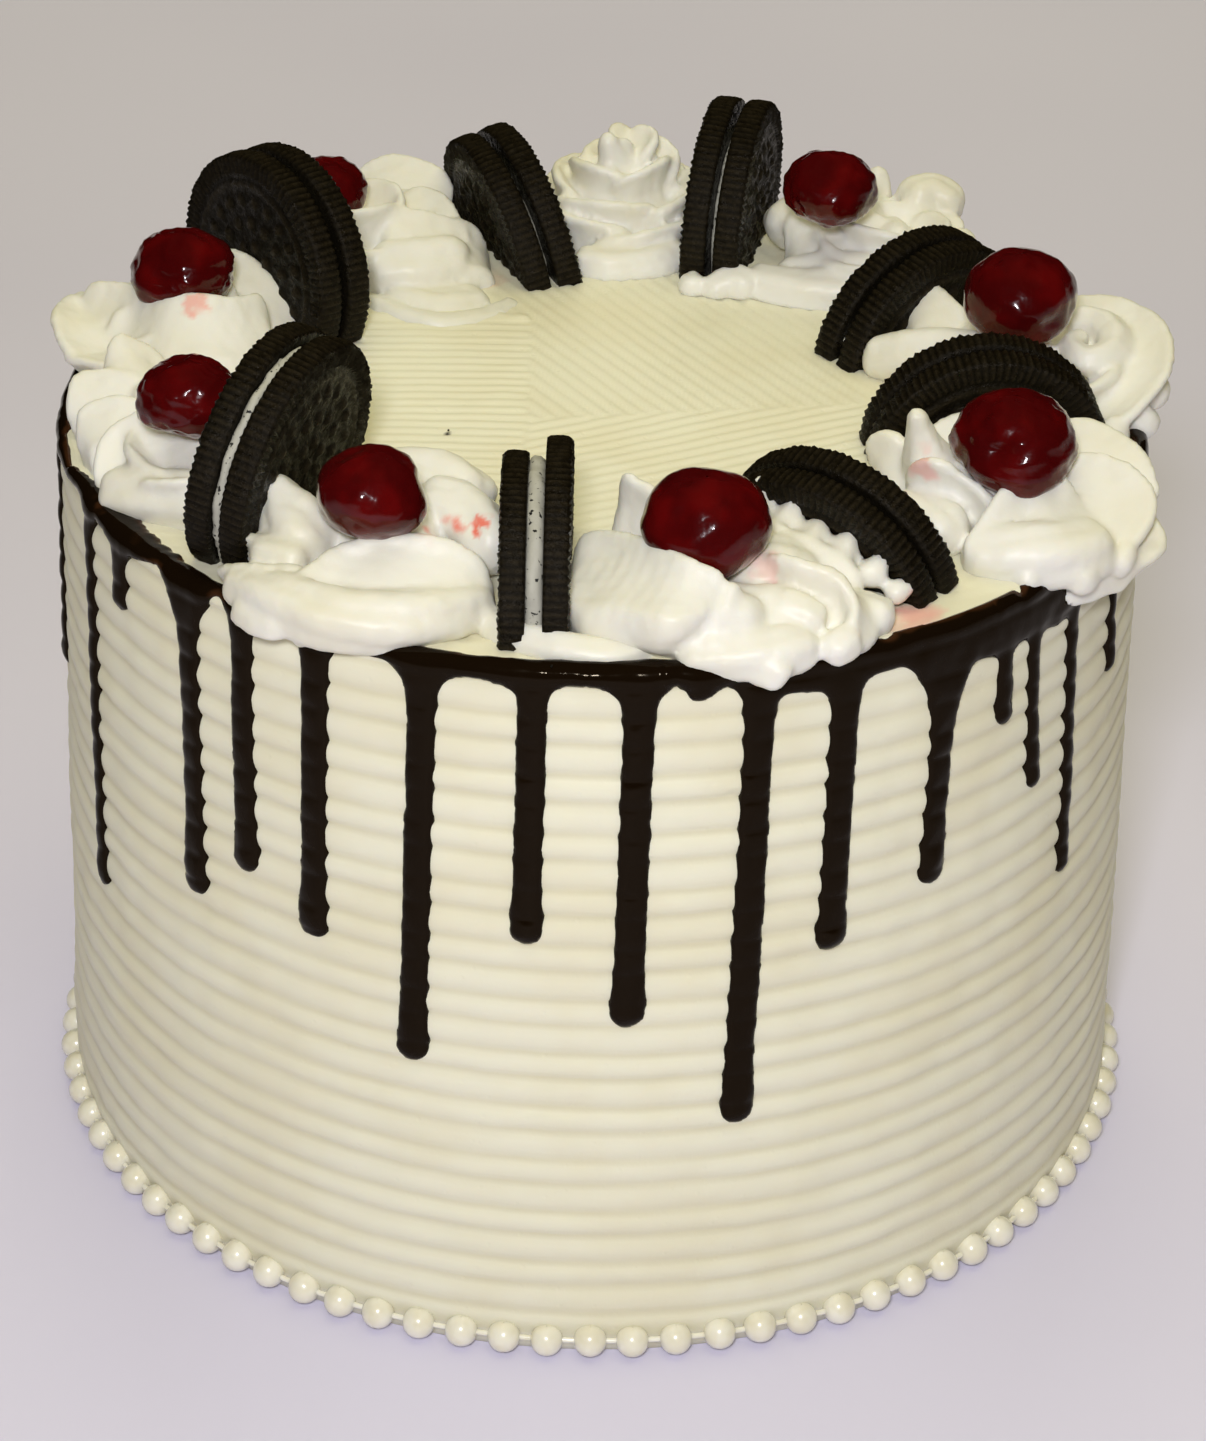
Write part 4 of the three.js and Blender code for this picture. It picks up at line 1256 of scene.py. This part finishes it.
def apply_modifiers(piece):
    """Turns what the modifiers show into the piece's own mesh."""
    bpy.context.view_layer.update()
    shaped = piece.evaluated_get(bpy.context.evaluated_depsgraph_get())
    mesh = bpy.data.meshes.new_from_object(shaped)
    piece.modifiers.clear()
    piece.data = mesh
    mesh.name = piece.name


def drop_crumbs(piece):
    """Removes the small closed bubbles that melting can leave inside the cream or beside it."""
    form = bmesh.new()
    form.from_mesh(piece.data)
    unseen = set(form.verts)
    crumbs = []
    while unseen:
        island = [unseen.pop()]
        for vert in island:
            beside = [e.other_vert(vert) for e in vert.link_edges]
            fresh = [v for v in beside if v in unseen]
            unseen.difference_update(fresh)
            island.extend(fresh)
        if len(island) < SMALLEST_ISLAND:
            crumbs.extend(island)
    bmesh.ops.delete(form, geom=crumbs, context="VERTS")
    form.to_mesh(piece.data)
    form.free()


def pipe(number, strokes):
    """One rosette: ropes of four numbers a knot and petals of six, melted into one skin."""
    random = np.random.default_rng(400 + number)
    parts = []
    for knots in strokes:
        turn = random.uniform(0.2, 0.9) * random.choice([-1, 1])
        phase = random.uniform(0, 6)
        parts.append(rope(knots, turn=turn, phase=phase) if len(knots[0]) == 4 else petal(knots))
    points, faces = joined(parts)
    piece = new_piece(f"rosette_{number}_cream", points + rosette_middle(number - 1), faces)
    melt = piece.modifiers.new("melt", "REMESH")
    melt.mode = "VOXEL"
    melt.voxel_size = VOXEL * MM
    soften = piece.modifiers.new("soften", "SMOOTH")
    soften.iterations = 3
    apply_modifiers(piece)
    drop_crumbs(piece)
    points = points_of(piece)
    facing = read_points(piece.data.vertex_normals, "vector")
    lift = lumps(points, (0.2, 10, 40 + number), (0.06, 2.6, 50 + number))
    points = points + facing * lift[:, None]
    under_top = points[:, 2] < CAKE_HEIGHT - REACH_INTO_TOP
    on_cake = np.hypot(points[:, 0], points[:, 1]) < TOP_RADIUS - OVER_RIM
    points[under_top & on_cake, 2] = CAKE_HEIGHT - REACH_INTO_TOP
    move_points(piece, points)
    piece.data.shade_smooth()
    return piece


rosettes = [pipe(n + 1, strokes) for n, strokes in enumerate(ROSETTE_STROKES)]
print("points in each rosette:", [len(r.data.vertices) for r in rosettes])

# %% Paint the rosettes
# Syrup has run from the cherries on to the cream, and one dark crumb has coloured it.
CREAM_STAINS = {
    "syrup": [
        (-21.3, 72.5, 11, 4, 0.8), (34.5, 92, 1, 3, 0.3), (-97, 75, 15, 3, 0.45),
        (-17.0, 70, 10, 2.2, 0.85),
    ],
    "blush": [
        (-20.5, 77, 12.5, 6, 0.4), (48.5, 71, 13, 4.5, 0.6), (36, 93, 2, 4, 0.4),
        (18.4, 84, 10.3, 3.5, 0.4),
    ],
    "speck": [(-72, 84, 8, 0.8, 1.0)],
}
for number, rosette in enumerate(rosettes, start=1):
    for name, spots in CREAM_STAINS.items():
        paint_spots(rosette, name, spots)
    finish_piece(rosette, [f"rosette_{number}"], cream_finish)

# %% [markdown]
# ## The biscuits
#
# A sandwich biscuit is two wafers with filling between. Each wafer is a low turned disc: its
# edge is milled with fine teeth, a ring of short ribs runs round its face, and small studs fill
# the middle. The relief is a rule in angle and distance, so the mesh is rings of points. The
# design on the real biscuits belongs to its maker, so plain rings and studs stand in for it.

# %% Sizes of a biscuit
BISCUIT_RADIUS = 22.25
OUTER_FACE = 5.8
TEETH = 96
TOOTH_DEPTH = 0.6
WAFER_COLUMNS = 192
RIB_RING = (18.0, 21.4)
RIB_HEIGHT = 0.6
RING_AT, RING_HEIGHT = 16.4, 0.45
STUD_RINGS = [(0.0, 1), (4.6, 7), (9.0, 13), (13.2, 20)]
STUD_RADIUS = 1.5
STUD_HEIGHT = 0.6
FACE_DROP = 0.5
FILLING_COLUMNS = 144
# The milled edge from the face to the inside: how far in, and its height in half thicknesses.
WAFER_EDGE = [(0.4, 0.86), (0.12, 0.66), (0.0, 0.2), (0.0, -0.3), (0.12, -0.72), (0.4, -0.97)]
# The hole at the middle of a turned face, and how far out the face's rings of points lie.
POLE = 0.02
FACE_RINGS = [POLE, *np.linspace(0.75, 17.25, 23), 17.9, 18.5, 19.6, 20.6, 21.3]
INNER_RING = 20.5

# Each biscuit: the gap it stands in, degrees from the gap's middle, distance out, height above
# the top, turn from pointing at the axis, lean, how far its wafers have slid, the space between
# them, and the filling's radius and how far it is pressed to the left side and up.
BISCUITS = [
    (0, -6.1, 70.6, 2, 8.6, 0, 2.8, 2.8, 20.3, 0, -0.5),
    (1, -2.6, 69.2, -2.5, 20, 15.3, 0, 1.5, 18.4, 0, 0),
    (2, 2.5, 69.4, -2, 16.5, 5.2, 0, 1.5, 18.4, 0, 0),
    (3, 2.9, 69, -2, 8.5, 7, 0, 1.5, 18.4, 0, 0),
    (4, 4.1, 78, 7.6, 5.4, 1.6, 0, 1.5, 16.3, 0, 0),
    (5, -3.4, 75, 1.6, 8.3, -13, 0, 1.4, 17.2, 0, 0),
    (6, 0.7, 73.3, 10, -17.2, 1.3, 0, 1.8, 18.4, 0, 0),
    (8, -4.5, 74.5, 14, 22.3, -10, 0, 2.0, 19.9, -1.0, 0.4),
]


def biscuit_frame(gap, slip, out, rise, turn, lean):
    """A biscuit's own directions, as columns across, up and along its axis, and its centre."""
    angle = ROSETTE_FIRST + gap * ROSETTE_STEP + ROSETTE_STEP / 2 + slip
    facing, tip = math.radians(angle + turn), math.radians(lean)
    level_part = math.cos(tip)
    axis = np.array([level_part * math.cos(facing), level_part * math.sin(facing), math.sin(tip)])
    across = np.cross(Z_UP, axis)
    across /= np.linalg.norm(across)
    directions = np.stack([across, np.cross(axis, across), axis], 1)
    return directions, place(angle, out, CAKE_HEIGHT + rise)


print("biscuits:", len(BISCUITS))

# %% One wafer


def ring(r, theta, z):
    """A ring of points round the z axis, at angles theta."""
    spots = np.broadcast_arrays(r * np.cos(theta), r * np.sin(theta), z)
    return np.stack(spots, -1).astype(float)


def wafer_relief(r, theta):
    """How near a spot of the face is to a crest, and its height over the edge plane."""
    tooth = 0.5 + 0.5 * np.cos(TEETH * theta)
    rib_start, rib_end = RIB_RING
    ribs = tooth * blend_in(rib_start, rib_start + 0.5, r) * (1 - blend_in(rib_end, 22.0, r))
    hoop = np.exp(-(((r - RING_AT) / 0.6) ** 2))
    studs = np.zeros_like(r)
    x, y = r * np.cos(theta), r * np.sin(theta)
    for reach, count in STUD_RINGS:
        for k in range(count):
            a = 2 * np.pi * (k + 0.3 * reach) / count
            away = np.hypot(x - reach * np.cos(a), y - reach * np.sin(a))
            studs = np.maximum(studs, 1 - blend_in(STUD_RADIUS * 0.5, STUD_RADIUS, away))
    rise = -FACE_DROP + RIB_HEIGHT * ribs + RING_HEIGHT * hoop + STUD_HEIGHT * studs
    return np.maximum(np.maximum(ribs, hoop), studs), rise


def wafer(seed, thickness):
    """A wafer's points with its patterned face towards +Z, and its faces."""
    theta = np.linspace(0, 2 * np.pi, WAFER_COLUMNS, endpoint=False)[None, :]
    tooth = 0.5 + 0.5 * np.cos(TEETH * theta)
    half = thickness / 2
    rings, crests = [], []
    for r in FACE_RINGS:
        crest, rise = wafer_relief(r + 0 * theta, theta)
        crests.append(crest)
        rings.append(ring(r, theta, half + rise))
    for inset, level in WAFER_EDGE:
        toothed = BISCUIT_RADIUS - inset - TOOTH_DEPTH * (1 - tooth) * (1 - inset)
        crests.append(tooth * (1 - inset))
        rings.append(ring(toothed, theta, half * level))
    for r in (INNER_RING, POLE):
        rings.append(ring(r, theta, -half))
        crests.append(0 * theta)
    points = np.concatenate([r.reshape(-1, 3) for r in rings])
    out = np.hypot(points[:, 0], points[:, 1])
    outward = points * np.array([1, 1, 0]) / np.maximum(out, 1)[:, None]
    crumb = ripple(points, 1.5, seed, 3)
    broken = np.minimum(ripple(points, 6, seed + 1), 0)
    points[:, 2] += 0.15 * crumb * (points[:, 2] > 0)
    points += outward * (0.08 * crumb + 0.2 * broken)[:, None] * (out > 21)[:, None]
    return points, [grid_faces(len(rings), WAFER_COLUMNS)[:, ::-1]], np.concatenate(crests).ravel()


def filling_disc(seed, radius, gap):
    """The filling: a disc with a soft bulging edge, pressed out unevenly."""
    theta = np.linspace(0, 2 * np.pi, FILLING_COLUMNS, endpoint=False)[None, :]
    half = gap / 2 + 0.05
    rows = [(POLE, 1), (10, 1), (radius - 1.2, 1), (radius - 0.4, 0.8), (radius, 0.35)]
    rows += [(r, -level) for r, level in reversed(rows)]
    rings = [ring(r, theta, half * level) for r, level in rows]
    points = np.concatenate([r.reshape(-1, 3) for r in rings])
    out = np.hypot(points[:, 0], points[:, 1])
    swell = 1 + lumps(points, (0.02, 7, seed), (0.01, 1.8, seed + 1)) * (out > 15)
    points[:, :2] *= swell[:, None]
    return points, [grid_faces(len(rings), FILLING_COLUMNS)[:, ::-1]]


print("highest relief on a wafer's face, in mm:", round(RIB_HEIGHT - FACE_DROP, 2))

# %% Stand the biscuits
for number, row in enumerate(BISCUITS, start=1):
    slide, gap, filling_radius, pressed_left, pressed_up = row[6:]
    frame_turn, centre = biscuit_frame(*row[:6])
    thickness = OUTER_FACE - gap / 2
    for name, side in (("left", -1), ("right", 1)):
        points, faces, crests = wafer(700 + 10 * number + side, thickness)
        spin = math.radians(37 * number + 11 * side)
        c, s = math.cos(spin), math.sin(spin)
        points = points @ np.array([[c, -s, 0], [s, c, 0], [0, 0, 1]]).T
        if side < 0:
            points = points * np.array([1, -1, -1])
        points = points + np.array([0, side * slide / 2, side * (OUTER_FACE - thickness / 2)])
        piece = new_piece(f"biscuit_{number}_{name}_wafer", points @ frame_turn.T + centre, faces)
        # The crest mask paints the raised relief paler, as a painted highlight.
        brush(piece, "crest", crests)
        node = f"biscuit_{number}_wafer_{name}"
        finish_piece(piece, [node], wafer_finish)
    points, faces = filling_disc(900 + number, filling_radius, gap)
    points = points + np.array([pressed_left, pressed_up, 0])
    piece = new_piece(f"biscuit_{number}_cream", points @ frame_turn.T + centre, faces)
    node = f"biscuit_{number}_filling"
    finish_piece(piece, [node], filling_finish)

# %% [markdown]
# ## The cherries
#
# A candied cherry is a ball that has shrunk, so it is squat, dimpled and a little angular. Each
# starts as a ball of rings, is pulled in at a few seeded dents, and is squashed. Its finish does
# the rest: a clear coat catches small bright highlights on every dimple.

# %% Cherries
# Each cherry: its rosette, degrees from its middle, distance out, height above the top, size
# across, how squat it is, how deep its dents and fine wrinkles are, and where its corner points.
CHERRIES = [
    (0, -2.4, 80.5, 17.8, 18.2, 0.81, 0.09, 0.008, 60),
    (1, -4.6, 76.8, 15.4, 21.2, 0.8, 0.05, 0.006, 0),
    (2, 0.5, 82.5, 15.5, 21, 0.84, 0.08, 0.020, 15),
    (3, -0.5, 76, 19, 20.2, 0.86, 0.07, 0.012, 200),
    (4, 5, 70, 20.5, 17.5, 0.8, 0.10, 0.022, 100),
    (6, 3.65, 83, 15, 16, 0.8, 0.09, 0.02, 30),
    (7, -1.6, 79.8, 16.8, 19, 0.78, 0.10, 0.022, -60),
    (8, 0.6, 80.5, 18.4, 16.6, 0.84, 0.11, 0.024, -80),
]
CHERRY_RINGS, CHERRY_COLUMNS = 44, 80
DENTS = 9
CORNER_PULL, CORNER_WIDTH = 0.10, 0.45


def unit_ball(rings, columns, pole):
    """A ball of radius 1, as rings of points from one pole's small opening to the other's."""
    tilt = np.linspace(pole, math.pi - pole, rings)[:, None]
    theta = np.linspace(0, 2 * np.pi, columns, endpoint=False)[None, :]
    return ring(np.sin(tilt), theta, np.cos(tilt)).reshape(-1, 3)


def cherry(number, host, slip, out, rise, across, squat, dents, wrinkles, corner):
    """One cherry as a dimpled, squashed ball with one blunt corner low on its side."""
    random = np.random.default_rng(800 + number)
    ball = unit_ball(CHERRY_RINGS, CHERRY_COLUMNS, 0.02)
    pull = np.zeros(len(ball))
    for _ in range(DENTS):
        centre = random.normal(size=3)
        centre /= np.linalg.norm(centre)
        away = np.arccos(np.clip(ball @ centre, -1, 1))
        deep = dents * random.uniform(0.4, 1.2)
        pull += deep * np.exp(-((away / random.uniform(0.22, 0.5)) ** 2))
    pull += lumps(ball * 10, (0.02, 7, 810 + number), (wrinkles, 3.2, 820 + number))
    blunt = place(corner, 0.9, -0.4)
    away = np.arccos(np.clip(ball @ (blunt / np.linalg.norm(blunt)), -1, 1))
    pull -= CORNER_PULL * np.exp(-((away / CORNER_WIDTH) ** 2))
    points = ball * (across / 2) * (1.03 - pull)[:, None]
    points[:, 2] *= squat
    angle = ROSETTE_FIRST + host * ROSETTE_STEP + ROSETTE_PLACES[host][0] + slip
    middle = place(angle, out, CAKE_HEIGHT + rise)
    faces = [grid_faces(CHERRY_RINGS, CHERRY_COLUMNS)]
    piece = new_piece(f"cherry_{number}_fruit", points + middle, faces)
    # The foot mask is a painted glow: brighter red towards the bottom of the cherry.
    brush(piece, "foot", 0.4 * (1 - blend_in(-0.85, -0.2, ball[:, 2])))
    return piece


for number, sizes in enumerate(CHERRIES, start=1):
    piece = cherry(number, *sizes)
    finish_piece(piece, [f"cherry_{number}"], cherry_finish)

# %% [markdown]
# ## The pearls
#
# A thread of pearls lies round the foot. It is one piece: small balls at even steps, joined by a
# thin thread. Each pearl is placed and sized a hair differently, as strung pearls are.

# %% Pearls
PEARL_COUNT = 83
PEARL_RADIUS = 3.0
PEARL_RING_RADIUS = 101.7
PEARL_LIFT = 3.2
THREAD_RADIUS = 0.55
THREAD_SIDES = 8
BEAD_RINGS, BEAD_COLUMNS = 13, 22


def bead(centre, radius):
    """A small ball's points and faces."""
    ball = unit_ball(BEAD_RINGS, BEAD_COLUMNS, 0.03)
    return ball * radius + centre, [grid_faces(BEAD_RINGS, BEAD_COLUMNS)]


random = np.random.default_rng(5)
parts = []
for p in range(PEARL_COUNT):
    angle = p * 360 / PEARL_COUNT + random.uniform(-0.12, 0.12)
    lift = PEARL_LIFT + random.uniform(-0.15, 0.15)
    radius = PEARL_RADIUS * random.uniform(0.97, 1.0)
    parts.append(bead(place(angle, PEARL_RING_RADIUS, lift), radius))
thread_angles = np.linspace(0, 360, PEARL_COUNT * 6, endpoint=False)[:, None]
round_thread = np.linspace(0, 2 * np.pi, THREAD_SIDES, endpoint=False)[None, :]
thread = place(
    thread_angles, PEARL_RING_RADIUS + THREAD_RADIUS * np.cos(round_thread),
    PEARL_LIFT + THREAD_RADIUS * np.sin(round_thread),
).reshape(-1, 3)
last_row = (len(thread_angles) - 1) * THREAD_SIDES
side = np.arange(THREAD_SIDES)
beside = (side + 1) % THREAD_SIDES
close = np.stack([last_row + side, last_row + beside, beside, side], -1)
parts.append((thread, [grid_faces(len(thread_angles), THREAD_SIDES), close]))
pearls = new_piece("pearl_string", *joined(parts))
finish_piece(pearls, ["pearls"], pearl_finish)

# %% [markdown]
# ## Crumbs
#
# A few biscuit crumbs lie where the biscuits went in. They are tiny, so each is one small ball
# made rough. All are one mesh, scattered by a seeded draw round chosen places.

# %% Crumbs
# Where crumbs lie: angle, distance out, height above the top, how far they spread, how many.
CRUMB_PLACES = [
    (-3, 95.5, 0.6, 3.5, 5), (13.5, 86, 13.8, 2.0, 7), (-45, 84, 5, 4, 4), (-67, 30, 0.4, 0.5, 1),
]
CRUMB_RADIUS = 0.34
random = np.random.default_rng(77)
parts = []
for angle, out, rise, spread, count in CRUMB_PLACES:
    for _ in range(count):
        away = random.normal(size=3) * spread * [0.5, 0.5, 0.0]
        points, faces = bead(np.zeros(3), CRUMB_RADIUS * random.uniform(0.5, 1.2))
        rough = 1 + 0.3 * ripple(points, 0.8, int(random.integers(1, 999)))
        centre = place(angle, out, CAKE_HEIGHT + rise) + away
        parts.append((points * rough[:, None] + centre, faces))
crumbs = new_piece("biscuit_crumbs", *joined(parts))
finish_piece(crumbs, None, wafer_finish)
print("triangles in all:", sum(TRIANGLES.values()))

# %% [markdown]
# ## Floor and light
#
# The cake stands on a plain pale floor. A photographer's small flash near the lens gives the
# small bright highlights in the middle of each pearl and cherry. A broad soft lamp above does
# most of the lighting, and softer ones in front and behind, with a dim pale world, fill the
# shadows. Only the flash shows in glossy finishes, as in the photo.

# %% Floor
FLOOR_HALF = 2500
FLOOR_DROP = 0.2

floor_steps = np.linspace(-FLOOR_HALF, FLOOR_HALF, 3)
fx, fy = np.meshgrid(floor_steps, floor_steps)
floor_points = np.stack([fx, fy, 0 * fx - FLOOR_DROP], -1).reshape(-1, 3)
floor = new_piece("floor", floor_points, [grid_faces(3, 3, wrap=False)])
floor_finish = Finish("floor_finish", 0.55)
clouds = floor_finish.between(floor_finish.grain(300), 0.3, 0.7)
floor_finish.drive("Base Color", floor_finish.mix(clouds, FLOOR_COLOUR, FLOOR_DULL))
floor.data.materials.append(floor_finish.material)
print("floor in metres across:", 2 * FLOOR_HALF * MM)

# %% Lights
# Each lamp: name, place and target in metres, size in metres, watts and colour.
LAMPS = [
    ("flash", (-0.04, -0.68, 0.56), (0, 0, 0.08), 0.09, 3.6, (1.0, 1.0, 1.06)),
    ("ceiling", (0.1, 0.2, 1.6), (0, 0, 0), 1.6, 12.3, (1.0, 0.94, 0.56)),
    ("front", (0, -1.3, 0.9), (0, 0, 0.05), 0.9, 3.0, (1.0, 0.95, 0.72)),
    ("back", (0, 1.3, 0.9), (0, 0, 0.05), 0.9, 4.5, (1.0, 0.97, 0.84)),
]
LARGEST_SEEN = 0.5
SKY_COLOUR = (1.0, 0.88, 0.6, 1.0)
SKY_STRENGTH = 0.07


def soft_box(name, at, towards, size, watts, colour):
    """A square lamp at a place in metres, turned towards another."""
    data = bpy.data.lights.new(name, "AREA")
    data.size = size
    data.energy = watts
    data.color = colour
    lamp = bpy.data.objects.new(name, data)
    bpy.context.scene.collection.objects.link(lamp)
    lamp.location = at
    lamp.rotation_euler = (Vector(towards) - Vector(at)).to_track_quat("-Z", "Y").to_euler()
    lamp.visible_glossy = size < LARGEST_SEEN


for row in LAMPS:
    soft_box(*row)
world = bpy.data.worlds.new("room")
bpy.context.scene.world = world
world.use_nodes = True
sky = world.node_tree.nodes["Background"]
sky.inputs["Color"].default_value = SKY_COLOUR
sky.inputs["Strength"].default_value = SKY_STRENGTH
world.cycles_visibility.glossy = False
bpy.context.scene.view_settings.view_transform = "Standard"
